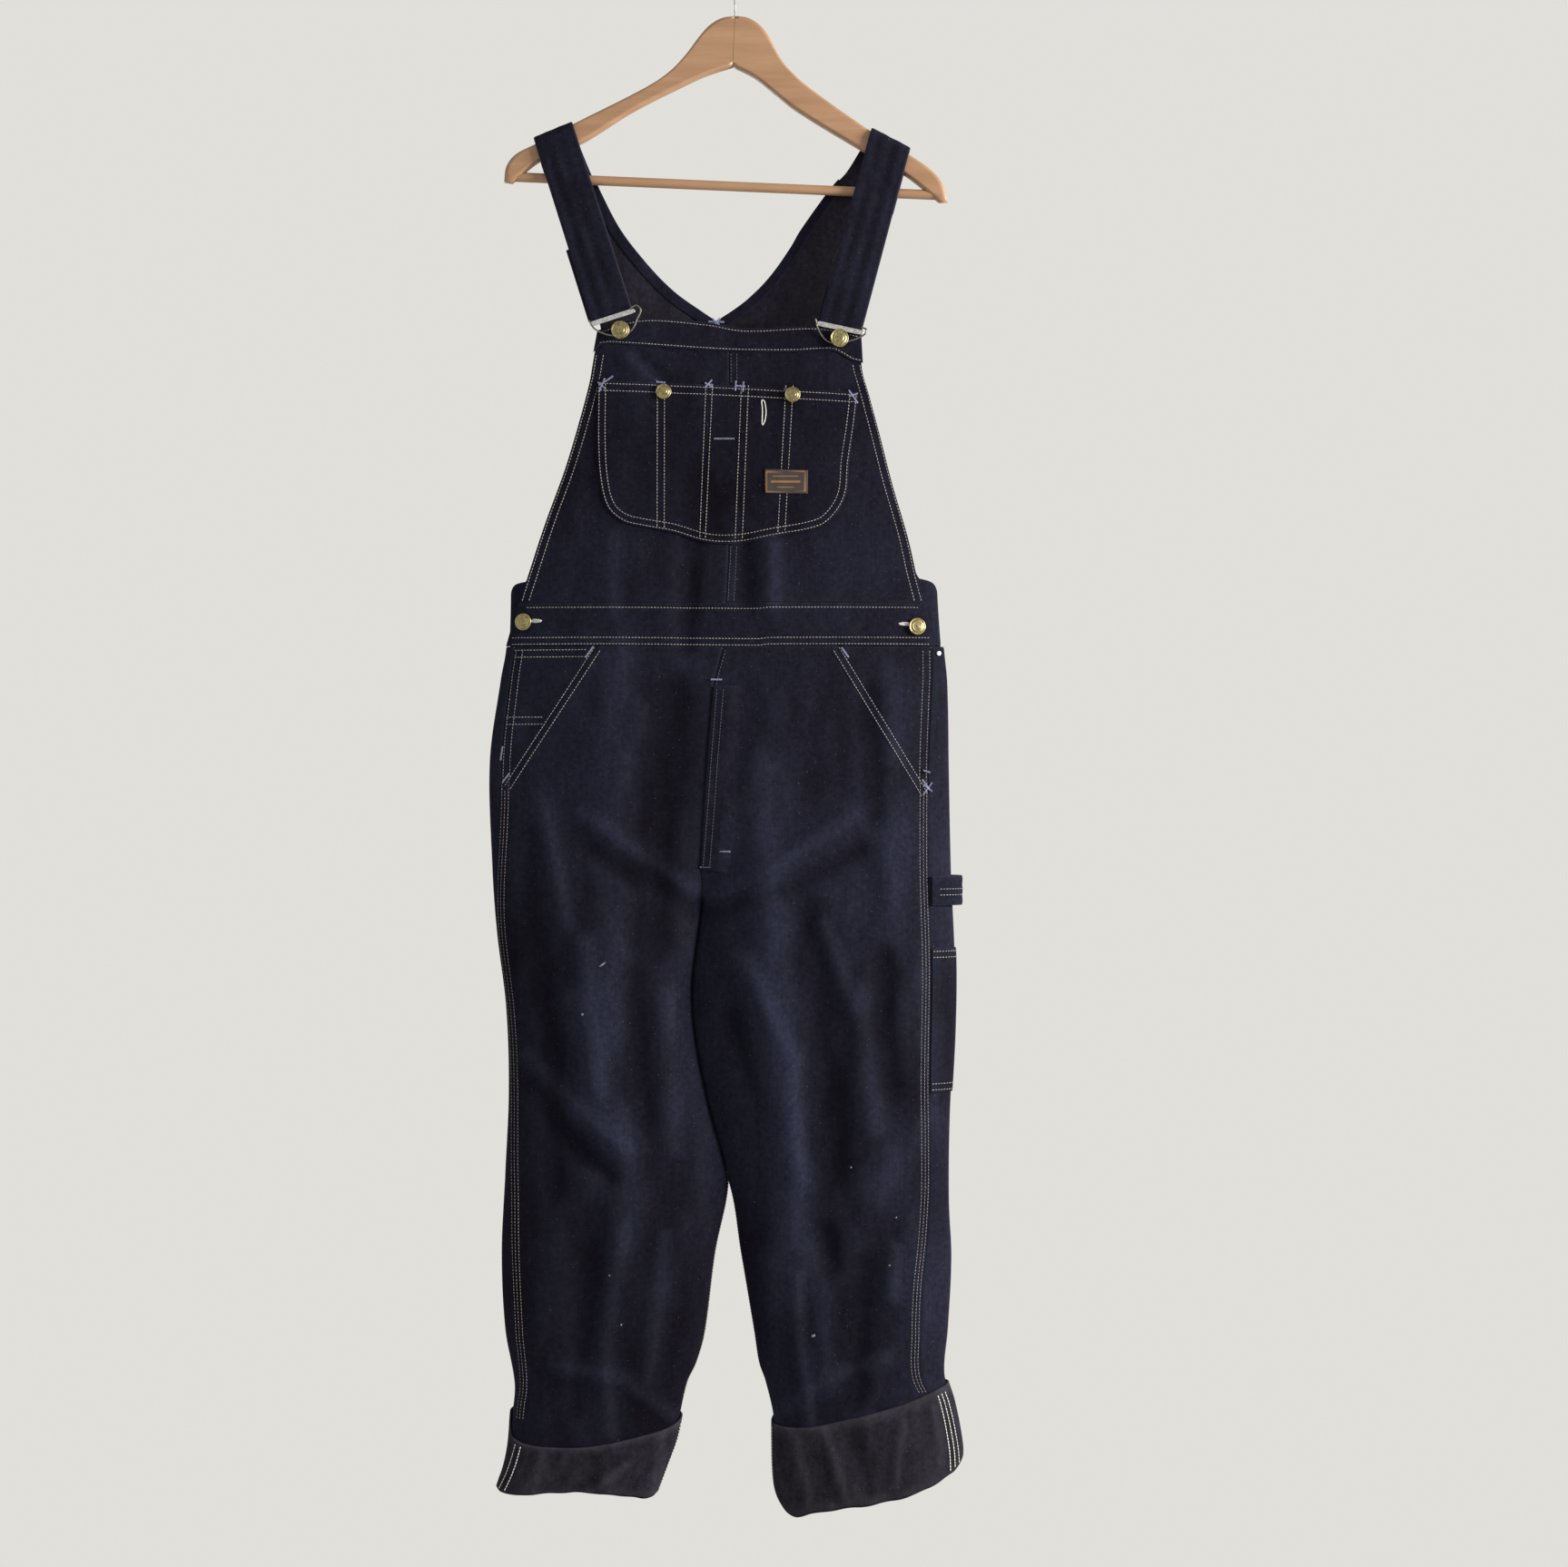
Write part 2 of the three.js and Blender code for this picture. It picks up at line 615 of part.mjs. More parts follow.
// ---- hammer loop, standing out from the right side ----
const LOOP_LEVEL = -955.7;
const LOOP_WIDTH = 29.5;
const loopEnd = (angle) => ringPoint(RIGHT, LOOP_LEVEL, angle, LAY_GAP + CLOTH).toArray();
const loopSeam = outseamAngle(RIGHT, LOOP_LEVEL);
const LOOP_BACK_ANGLE = -0.62;
const loopRoute = new THREE.CatmullRomCurve3(
  [
    loopEnd(loopSeam), loopEnd(loopSeam - 0.1), [219, -12.5, LOOP_LEVEL], [227, -6, LOOP_LEVEL],
    [228.8, 2, LOOP_LEVEL], [224, 10.5, LOOP_LEVEL], loopEnd(LOOP_BACK_ANGLE),
    loopEnd(LOOP_BACK_ANGLE - 0.12),
  ].map((point) => new THREE.Vector3(...point)),
);
add(
  "hammer_loop",
  ribbon(loopRoute.getSpacedPoints(14), new THREE.Vector3(0, 0, 1), LOOP_WIDTH, CLOTH),
  denim,
);

// ---- turned-up cuffs ----
// The section of a turn-up, as [how far down, how far out from the leg's outer face].
const TURN_UP = [
  [0, 2.9], [0.3, 2.9], [0.62, 2.9], [0.9, 2.9], [0.98, 2.1], [1, 0.6], [0.98, -0.9],
  [0.93, -1.6], [0.62, -1.6], [LEG_JOIN + 0.006, -1.6], [LEG_JOIN + 0.006, 0], [0.62, 0],
  [0.93, 0.1], [0.93, 1.2], [0.62, 1.3], [0.3, 1.3], [0, 1.3],
];
function cuff(side) {
  const angles = [
    ...frontAngles(side, CUFF_SEAM_LEVEL),
    ...backAngles(side, CUFF_SEAM_LEVEL).slice(1, -1).toReversed(),
  ];
  const points = angles.flatMap((angle) =>
    TURN_UP.map(([down, out]) => ringPoint(side, cuffLevel(side, angle, down), angle, out)),
  );
  const triangles = [];
  const count = TURN_UP.length;
  for (let i = 0; i < angles.length; i++) {
    for (let j = 0; j < count; j++) {
      const [here, next] = [i * count, ((i + 1) % angles.length) * count];
      const after = (j + 1) % count;
      triangles.push([here + j, next + j, next + after], [here + j, next + after, here + after]);
    }
  }
  return meshGeometry(points, triangles);
}
for (const side of [LEFT, RIGHT]) add(`cuff_${NAME[side]}`, cuff(side), denimInside);

// ---- straps, over the hanger's arms ----
const STRAP_THICKNESS = 2.2;
const ARM_WRAP = 8.8; // radius of the strap's middle round the arm's top
const WRAP_DROP = 9.8; // from the strap's top down to the middle of that bend
// The front stretch of each strap: outer and inner corners at the top and at the slide.
const straps = {
  [LEFT]: {
    top: [[-200.7, -201], [-162, -185]], bottom: [[-141, -390], [-100.6, -376]],
    endFrom: 120, endShift: -3,
  },
  [RIGHT]: {
    top: [[138.7, -191], [177.5, -211.5]], bottom: [[85, -390], [128, -399]],
    endFrom: 158, endShift: -2.5,
  },
};
const STRAP_LENGTH = 196; // from the top to the slide
const FRONT_Y = -14.6; // the strap's middle where it reaches its slide
const BACK_RUN = [[30, 12], [66, 13]]; // how far down and how far back the strap runs behind

// One row across a strap, a distance down from its top and at a depth y.
function strapRow(side, down, y, shift = 0) {
  const { top, bottom } = straps[side];
  const t = down / STRAP_LENGTH;
  return top.map(
    ([x, z], k) => new THREE.Vector3(lerp(x, bottom[k][0], t) + shift, y, lerp(z, bottom[k][1], t)),
  );
}

// A band through rows of two points each, with a middle column.
function band(rows, thickness) {
  const middle = rows.map(([a, b]) => a.clone().lerp(b, 0.5));
  const normals = middle.map((_, i) => {
    const before = middle[Math.max(i - 1, 0)];
    const after = middle[Math.min(i + 1, middle.length - 1)];
    const across = rows[i][1].clone().sub(rows[i][0]);
    return after.clone().sub(before).cross(across).setLength(thickness / 2);
  });
  const layer = (sign) =>
    rows.map(([a, b], i) =>
      [a, middle[i], b].map((point) => point.clone().addScaledVector(normals[i], sign)),
    );
  return wallBetween(layer(1), layer(-1));
}

for (const side of [LEFT, RIGHT]) {
  const { endFrom, endShift } = straps[side];
  const frontY = (down) => lerp(-ARM_WRAP, FRONT_Y, (down - WRAP_DROP) / (STRAP_LENGTH - WRAP_DROP));
  const frontRun = [1, 0.8, 0.6, 0.4, 0.2].map((t) => {
    const down = lerp(WRAP_DROP, STRAP_LENGTH, t);
    return strapRow(side, down, frontY(down));
  });
  const bend = Array.from({ length: 9 }, (_, k) => {
    const turn = (k * Math.PI) / 8;
    return strapRow(side, WRAP_DROP - ARM_WRAP * Math.sin(turn), -ARM_WRAP * Math.cos(turn));
  });
  const backRun = BACK_RUN.map(([down, y]) => strapRow(side, down, y));
  add(`strap_${NAME[side]}`, band([...frontRun, ...bend, ...backRun], STRAP_THICKNESS), denim);
  const behind = STRAP_THICKNESS / 2 + LAY_GAP + CLOTH / 2;
  const endRun = [0, 0.34, 0.67, 1].map((t) => {
    const down = lerp(endFrom, STRAP_LENGTH - 1, t);
    return strapRow(side, down, frontY(down) + behind, endShift);
  });
  add(`strap_end_${NAME[side]}`, band(endRun, CLOTH), denim);
}

// ---- slides and the wires that hook on the bib's buttons ----
const SLIDE = { length: 48, height: 6.5, thickness: 1.6, corner: 1.4 };
function slideGeometry() {
  const { length, height, corner, thickness } = SLIDE;
  const [x, z] = [length / 2 - corner, height / 2 - corner];
  const shape = new THREE.Shape();
  shape.absarc(x, z, corner, 0, Math.PI / 2);
  shape.absarc(-x, z, corner, Math.PI / 2, Math.PI);
  shape.absarc(-x, -z, corner, Math.PI, 1.5 * Math.PI);
  shape.absarc(x, -z, corner, 1.5 * Math.PI, 2 * Math.PI);
  shape.closePath();
  const geometry = new THREE.ExtrudeGeometry(shape, {
    depth: thickness,
    bevelEnabled: false,
    curveSegments: 3,
  });
  return geometry.translate(0, 0, -thickness / 2).rotateX(Math.PI / 2);
}
const slides = {
  [LEFT]: { at: [-120.5, -385], tilt: 0.31 },
  [RIGHT]: { at: [106.5, -395.5], tilt: -0.21 },
};
const SLIDE_Y = FRONT_Y - STRAP_THICKNESS / 2 - LAY_GAP - SLIDE.thickness / 2;
for (const side of [LEFT, RIGHT]) {
  const mesh = add(`slide_${NAME[side]}`, slideGeometry(), steel);
  mesh.rotation.y = -slides[side].tilt;
  mesh.position.set(slides[side].at[0], SLIDE_Y, slides[side].at[1]);
}

const WIRE = 2;
const wireRoutes = {
  [LEFT]: [
    [-143, -19.1, -389], [-138, -18.6, -396.5], [-126, -17, -402], [-111, -16.6, -403],
    [-101, -17, -397.5], [-95.5, -18, -387], [-92, -19, -378], [-96, -19.1, -373.5],
    [-102, -19.1, -376],
  ],
  [RIGHT]: [
    [82, -19.1, -387], [85, -18.6, -398], [93, -17, -408], [104, -16.6, -411.2],
    [114, -17.2, -409], [124, -18.6, -406], [131, -19.1, -402], [132.5, -19.1, -397.5],
    [128, -19.1, -395.5],
  ],
};
for (const side of [LEFT, RIGHT]) {
  add(`wire_${NAME[side]}`, wire(wireRoutes[side], WIRE, 36), steel);
}

// ---- buttons ----
// A domed button whose axis stands on the cloth; neck is the height of its stem.
function buttonGeometry(radius, neck) {
  const stem = 3;
  const profile = [
    [0, 0], [stem, 0], [stem, neck], [radius - 0.5, neck + 0.2], [radius, neck + 0.9],
    [radius - 0.4, neck + 1.7], [radius * 0.75, neck + 2.6], [radius * 0.42, neck + 3.2],
    [0, neck + 3.4],
  ];
  return new THREE.LatheGeometry(profile.map(([x, y]) => new THREE.Vector2(x, y)), 18);
}

// Stands a button on the front at x, z, out by a distance, square to the cloth there.
function stand(mesh, x, z, out) {
  const step = 4;
  const at = torsoPoint(FRONT, x, z, out);
  const along = torsoPoint(FRONT, x + step, z, out).sub(torsoPoint(FRONT, x - step, z, out));
  const up = torsoPoint(FRONT, x, z + step, out).sub(torsoPoint(FRONT, x, z - step, out));
  const normal = along.cross(up).normalize();
  if (normal.y > 0) normal.negate();
  mesh.quaternion.setFromUnitVectors(new THREE.Vector3(0, 1, 0), normal);
  mesh.position.copy(at);
}

const BIB_BUTTON = 9.2; // radii of the three sizes of button
const POCKET_BUTTON = 7.8;
const SIDE_BUTTON = 8.6;
const BIB_NECK = 3.6; // room behind the dome for the wire
const LOW_NECK = 0.8;
const hemOut = LAY_GAP + PATCH + LAY_GAP;
const pocketOut = pocketTop + LAY_GAP;
const bandOut = BAND_PROUD + 0.9;
const buttons = [
  ["button_bib_left", -111, -398, hemOut + 0.4, BIB_BUTTON, BIB_NECK],
  ["button_bib_right", 104, -406, hemOut + 0.4, BIB_BUTTON, BIB_NECK],
  ["button_pocket_left", -68.6, -459, pocketOut, POCKET_BUTTON, LOW_NECK],
  ["button_pocket_right", 58.5, -462, pocketOut, POCKET_BUTTON, LOW_NECK],
  ["button_side_left", -207.5, -688, bandOut, SIDE_BUTTON, LOW_NECK],
  ["button_side_right", 181.5, -692.5, bandOut, SIDE_BUTTON, LOW_NECK],
];
for (const [name, x, z, out, radius, neck] of buttons) {
  stand(add(name, buttonGeometry(radius, neck), brass), x, z, out);
}

const RIVET_RADIUS = 2.6;
const rivet = add(
  "rivet_side",
  new THREE.LatheGeometry(
    [[0, 0], [RIVET_RADIUS, 0], [RIVET_RADIUS * 0.8, 0.8], [0, 1.2]].map(
      ([x, y]) => new THREE.Vector2(x, y),
    ),
    16,
  ),
  steel,
);
stand(rivet, 204.6, -719, LAY_GAP + 0.3);

// ---- hanger ----
const ARM_THICKNESS = 12;
const ARM_ROUNDING = 3.2;
const BAR_DIAMETER = 9.5;
const HOOK_WIRE = 2.8;
const BAR_ENDS = [[-222, -240.4], [205.5, -258.8]];
const SHANK_X = 1.5;

const armOutlines = {
  [LEFT]: {
    upper: [
      [1.3, -80], [-12, -82], [-25, -90], [-36, -102.5], [-46.6, -117], [-63.5, -135], [-87, -151],
      [-161, -188.5], [-200, -209], [-219, -219], [-228, -231], [-229.8, -246],
    ],
    lower: [
      [-222, -247], [-193, -224], [-151, -206], [-101, -175], [-60, -154], [-28, -139], [-0.9, -130],
    ],
  },
  [RIGHT]: {
    upper: [
      [1.6, -80], [14, -81.5], [26, -88.5], [36, -101], [44, -117], [54.5, -132], [75, -151],
      [138.5, -196], [177, -219.5], [199, -235], [210, -249], [214.5, -266],
    ],
    lower: [
      [206, -266], [172, -239], [125, -212], [61, -173], [41, -157], [20, -140.5], [-0.6, -130],
    ],
  },
};

function roundBar(from, to, diameter, sides = 20) {
  const [a, b] = [new THREE.Vector3(from[0], 0, from[1]), new THREE.Vector3(to[0], 0, to[1])];
  const along = b.clone().sub(a);
  const geometry = new THREE.CylinderGeometry(diameter / 2, diameter / 2, along.length(), sides);
  const turn = new THREE.Quaternion().setFromUnitVectors(
    new THREE.Vector3(0, 1, 0),
    along.clone().normalize(),
  );
  return geometry
    .applyQuaternion(turn)
    .translate((a.x + b.x) / 2, 0, (a.z + b.z) / 2);
}

const SOCKET_ROOM = 0.35;
const barSocket = solidFrom(
  roundBar(
    [BAR_ENDS[0][0] - SOCKET_ROOM, BAR_ENDS[0][1]],
    [BAR_ENDS[1][0] + SOCKET_ROOM, BAR_ENDS[1][1]],
    BAR_DIAMETER + 2 * SOCKET_ROOM,
  ),
);
const SHANK_FOOT = -104;
const shankHole = solidFrom(
  roundBar([SHANK_X, SHANK_FOOT - 1], [SHANK_X, -60], HOOK_WIRE + 2 * SOCKET_ROOM, 12),
);

function armGeometry(side) {
  const { upper, lower } = armOutlines[side];
  const smooth = (points) =>
    new THREE.SplineCurve(points.map(([x, z]) => new THREE.Vector2(x, z))).getPoints(
      2 * points.length,
    );
  const shape = new THREE.Shape([...smooth(upper), ...smooth(lower)]);
  const geometry = new THREE.ExtrudeGeometry(shape, {
    depth: ARM_THICKNESS - 2 * ARM_ROUNDING,
    bevelThickness: ARM_ROUNDING,
    bevelSize: ARM_ROUNDING,
    bevelOffset: -ARM_ROUNDING,
    bevelSegments: 2,
    curveSegments: 3,
  });
  geometry.rotateX(Math.PI / 2).translate(0, ARM_THICKNESS / 2 - ARM_ROUNDING, 0);
  return geometryFrom(solidFrom(geometry).subtract(barSocket).subtract(shankHole));
}
for (const side of [LEFT, RIGHT]) add(`hanger_arm_${NAME[side]}`, armGeometry(side), beech);
add("hanger_bar", roundBar(BAR_ENDS[0], BAR_ENDS[1], BAR_DIAMETER), beech);

// The hook: a straight shank, a bend out to the right, and a bow over the top.
const BOW_INNER = 17;
const BOW = BOW_INNER + HOOK_WIRE / 2;
const bowPoint = (degrees) => {
  const turn = THREE.MathUtils.degToRad(degrees);
  return [BOW * Math.cos(turn), 0, -BOW_INNER + BOW * Math.sin(turn)];
};
const hookRoute = [
  [SHANK_X, 0, SHANK_FOOT],
  [SHANK_X, 0, -80],
  [SHANK_X, 0, -58],
  [SHANK_X + 1.5, 0, -47],
  [11, 0, -36.5],
  ...[-25, 5, 35, 65, 90, 115, 145, 175, 195].map(bowPoint),
];
add("hanger_hook", wire(hookRoute, HOOK_WIRE, 48), steel);

export default overalls;
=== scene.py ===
import math
import bpy
import numpy as np
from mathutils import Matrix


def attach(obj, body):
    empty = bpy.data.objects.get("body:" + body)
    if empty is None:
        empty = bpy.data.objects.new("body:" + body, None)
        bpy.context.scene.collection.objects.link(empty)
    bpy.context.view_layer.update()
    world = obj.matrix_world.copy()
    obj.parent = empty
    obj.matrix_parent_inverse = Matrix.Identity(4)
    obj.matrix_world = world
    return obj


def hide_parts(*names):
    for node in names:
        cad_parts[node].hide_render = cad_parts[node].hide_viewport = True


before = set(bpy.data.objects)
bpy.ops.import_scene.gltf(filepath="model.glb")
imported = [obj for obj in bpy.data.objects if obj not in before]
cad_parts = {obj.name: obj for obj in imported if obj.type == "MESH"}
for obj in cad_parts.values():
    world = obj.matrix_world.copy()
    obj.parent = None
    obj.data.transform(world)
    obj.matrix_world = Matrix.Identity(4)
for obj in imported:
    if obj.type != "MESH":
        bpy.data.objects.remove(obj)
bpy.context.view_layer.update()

# Dark denim bib overalls hanging on a beech hanger. Shapes are worked out in millimetres, in the
# frame's own axes: +X to the viewer's right, +Z up, the front facing -Y, the hook's top at 0.
MM = 0.001
LEFT, RIGHT = -1, 1
FRONT, BACK = -1, 1
SIDES = (LEFT, RIGHT)
WORD = {LEFT: "left", RIGHT: "right"}

CLOTH, PATCH = 1.6, 1.3  # thickness of a panel, and of a piece sewn onto one
LAY_GAP = 0.4  # between a panel and what lies on it
ON_PATCH, ON_BAND = LAY_GAP + PATCH, 0.8  # how far the faces of a patch and the waistband stand out
SEAM = 0.15  # half the gap between two panels
ROUNDNESS = 0.8  # power on a section's sine: below 1 it is fuller than an ellipse
BIB_TOP, BAND_TOP, WAIST = -395.0, -669.0, -712.0
RISE_START, CROTCH = -870.0, -968.0  # the crotch seam curves under between these levels
TOOL_TOP, TOOL_BOTTOM = -1013.0, -1157.0
NECK = -382.0  # the lowest point of the neck's V
BACK_TOP = {LEFT: (-206.5, -213.0), RIGHT: (-207.0, -226.0)}  # at the neck's edge, at the outer edge
CUFF_SEAM_LEVEL, LEG_END = -1470.0, -1500.0
LEG_LENGTH = WAIST - LEG_END
LEG_JOIN = 0.3  # the share of its cuff's height that a leg runs down inside it
LEG_CLEARANCE = -0.45  # the legs press lightly on each other where they touch


def placed(name, data):
    """An object made from its data and put in the scene."""
    made = bpy.data.objects.new(name, data)
    bpy.context.scene.collection.objects.link(made)
    return made


# ---- camera: square to the garment, level with its middle ----
camera = placed("camera", bpy.data.cameras.new("camera"))
camera.location = (0.0506, -2.185, -0.849)
camera.rotation_euler = (math.pi / 2, 0, 0)
camera.data.lens = 50
camera.data.sensor_width = 36
bpy.context.scene.camera = camera


# ---- curves and noise ----
def curve(*pairs):
    """A smooth curve through (at, value) pairs, flat past its ends."""
    at, value = np.array(sorted(pairs), float).T
    last = len(at) - 1
    before, after = np.maximum(np.arange(last + 1) - 1, 0), np.minimum(np.arange(last + 1) + 1, last)
    slope = (value[after] - value[before]) / (at[after] - at[before])

    def read(x):
        x = np.clip(np.asarray(x, float), at[0], at[-1])
        i = np.clip(np.searchsorted(at, x, side="right") - 1, 0, last - 1)
        span = at[i + 1] - at[i]
        t = (x - at[i]) / span
        rise = value[i + 1] - value[i]
        bend = (slope[i] + slope[i + 1]) * span - 2 * rise
        return value[i] + t * (slope[i] * span + t * (rise - slope[i] * span - bend + t * bend))

    return read


def lerp(a, b, t):
    return a + (b - a) * t


def hashed(i, j, seed):
    """A fixed pseudo-random number from -1 to 1 for each lattice point."""
    value = np.sin(i * 127.1 + j * 311.7 + seed * 74.7) * 43758.5453
    return 2 * (value - np.floor(value)) - 1


def noise(u, v, seed):
    i, j = np.floor(u), np.floor(v)
    s, t = (q * q * q * (q * (6 * q - 15) + 10) for q in (u - i, v - j))
    top = lerp(hashed(i, j, seed), hashed(i + 1, j, seed), s)
    low = lerp(hashed(i, j + 1, seed), hashed(i + 1, j + 1, seed), s)
    return lerp(top, low, t)


def circle(count):
    """Angles evenly round a circle."""
    return np.linspace(0, 2 * math.pi, count + 1)[:-1]


def run_of(points):
    """The length run from the start of a line to each of its points."""
    return np.concatenate([[0], np.cumsum(np.linalg.norm(np.diff(points, axis=0), axis=1))])


def unit(vectors):
    return vectors / np.linalg.norm(vectors, axis=-1, keepdims=True)


def distance_to_line(x, z, line):
    least = np.full(np.shape(x), 1e9)
    for (ax, az), (bx, bz) in zip(line, line[1:]):
        dx, dz = bx - ax, bz - az
        t = np.clip(((x - ax) * dx + (z - az) * dz) / (dx * dx + dz * dz), 0, 1)
        least = np.minimum(least, np.hypot(x - ax - dx * t, z - az - dz * t))
    return least


def creased(height, x, z, creases):
    """A height with soft ridges and troughs added, each (rise, half width, line of (x, z))."""
    for rise, width, line in creases:
        height = height + rise * np.exp(-((distance_to_line(x, z, line) / width) ** 2))
    return height


# ---- outlines of the garment ----
side_line = {
    LEFT: curve(
        (-232, -222), (-620, -226), (-712, -228), (-745, -233.5), (-827, -244.5), (-930, -242),
        (-995, -237.5), (-1074, -228), (-1156, -225.4), (-1240, -229), (-1320, -232.5),
        (-1395, -229), (-1450, -219.5), (-1480, -221.5), (-1511, -224), (-1535, -229), (-1556, -237)),
    RIGHT: curve(
        (-232, 204), (-620, 206), (-669, 208), (-712, 211), (-750, 214.5), (-836, 216),
        (-934, 218), (-1030, 222), (-1100, 221), (-1180, 217), (-1265, 216), (-1325, 218.5),
        (-1395, 215), (-1440, 211.5), (-1467, 219), (-1493, 224.5), (-1519, 228), (-1560, 228)),
}
middle_line = curve(
    (-232, -5), (-600, -4), (-669, -7), (-712, -10), (-755, -20), (-931, -32), (-968, -31),
    (-1049, -41), (-1103, -38), (-1169, -25), (-1249, -5), (-1319, -5.5), (-1400, -4),
    (-1430, -5.9), (-1448, -7), (-1483, -7), (-1505, -9), (-1530, -13.3), (-1560, -18))
leg_spread = curve(
    (-1245, 0), (-1319, 13.4), (-1400, 25.5), (-1430, 32.1), (-1448, 39.5), (-1483, 47.5), (-1505, 50),
    (-1530, 54.8), (-1560, 61.3))
depth = {
    FRONT: curve((-232, 13), (-393, 14), (-550, 19), (-712, 25), (-850, 30), (-968, 30),
                 (-1100, 27), (-1300, 25), (-1480, 25)),
    BACK: curve((-232, 12.5), (-393, 15), (-550, 18), (-712, 24), (-850, 31), (-968, 32),
                (-1100, 28), (-1300, 25), (-1480, 25)),
}
outseam_inset = {
    LEFT: curve((-712, 8), (-854, 12), (-990, 1.2), (-1150, 1.2), (-1202, 3), (-1320, 10),
                (-1395, 10), (-1465, 3)),
    RIGHT: curve((-712, 12), (-766, 17), (-850, 21), (-1000, 24.5), (-1107, 24.5), (-1200, 20),
                 (-1265, 20), (-1345, 29), (-1424, 26), (-1470, 18)),
}
bib_edge = {
    LEFT: curve((-395, -135), (-424, -140), (-452, -145), (-527, -166), (-591, -189), (-646, -207),
                (-669, -214.5), (-712, -227.5)),
    RIGHT: curve((-395, 127), (-431, 129), (-457, 136), (-503, 148), (-547, 159), (-603, 175),
                 (-643, 184), (-669, 191), (-712, 201)),
}
bib_top = curve((-135, -397), (-91, -385), (-27, -389), (10, -395), (85, -393), (127, -401))
back_edge = {
    LEFT: curve((-206, -198), (-232, -190), (-270, -177), (-330, -155), (-400, -133), (-470, -139),
                (-540, -160), (-600, -184), (-640, -206), (-655, -218), (-672, -223), (-712, -225.5)),
    RIGHT: curve((-206, 174), (-232, 168), (-270, 160), (-330, 140), (-400, 121), (-470, 131), (-540, 150),
                 (-600, 168), (-640, 186), (-655, 197), (-672, 203), (-712, 208.5)),
}
back_seam = curve((-382, -18), (-550, -12), (-712, -10))
neck_line = {
    LEFT: curve((-206, -154.5), (-232, -144), (-255, -134), (-292, -114), (-326, -87), (-353, -60),
                (-372, -33), (-382, -18)),
    RIGHT: curve((-206, 129), (-232, 113), (-246, 101), (-260, 90), (-292, 67), (-309, 57), (-338, 36),
                 (-360, 14), (-372, -2), (-382, -18)),
}
# A cuff's top edge, then its lower one, each as its front and its back by the angle round the leg.
cuff_edges = {
    LEFT: (
        (curve((0, -1476), (0.3, -1500), (1.3, -1508), (2.4, -1494), (math.pi, -1482)),
         curve((0, -1476), (1.5, -1470), (math.pi, -1482))),
        (curve((0, -1554), (0.7, -1557), (1.6, -1553), (2.7, -1562), (math.pi, -1560)),
         curve((0, -1554), (1.5, -1552), (math.pi, -1560)))),
    RIGHT: (
        (curve((0, -1447), (0.6, -1453), (1.5, -1474), (2.3, -1489), (math.pi, -1488)),
         curve((0, -1447), (1.5, -1458), (math.pi, -1488))),
        (curve((0, -1520), (0.7, -1543), (1.19, -1558), (2.19, -1574), (2.53, -1579),
               (2.85, -1566), (math.pi, -1546)),
         curve((0, -1520), (1.5, -1548), (math.pi, -1546)))),
}

# Folds and creases: (height out of the sheet, half width, line of (x, z)).
FOLDS = {
    FRONT: [
        (4.0, 30, [(-121, -730), (-123, -1090)]),
        (-4.0, 26, [(-66, -770), (-74, -1000)]),
        (4.0, 20, [(-154, -1069), (-139, -1168), (-106, -1218), (-112, -1301)]),
        (4.5, 24, [(26, -840), (34, -1065), (50, -1357)]),
        (-4.5, 22, [(72, -985), (88, -1125), (100, -1225)]),
        (2.6, 14, [(9, -1026), (40, -1120), (52, -1200), (64, -1292), (84, -1361), (92, -1450)]),
        (3.0, 22, [(165, -870), (160, -1003)]),
        (3.0, 20, [(190, -1192), (144, -1251)]),
        (2.0, 20, [(38, -615), (36, -668)]),
        (-2.0, 22, [(-30, -560), (-46, -700)]),
    ],
    BACK: [
        (4.0, 30, [(-118, -760), (-126, -1100)]),
        (4.0, 28, [(96, -780), (104, -1120)]),
        (-4.0, 26, [(40, -980), (62, -1240)]),
        (-4.0, 26, [(-80, -1000), (-96, -1260)]),
        (2.5, 26, [(-100, -560), (-96, -690)]),
        (2.5, 26, [(84, -560), (90, -690)]),
    ],
}
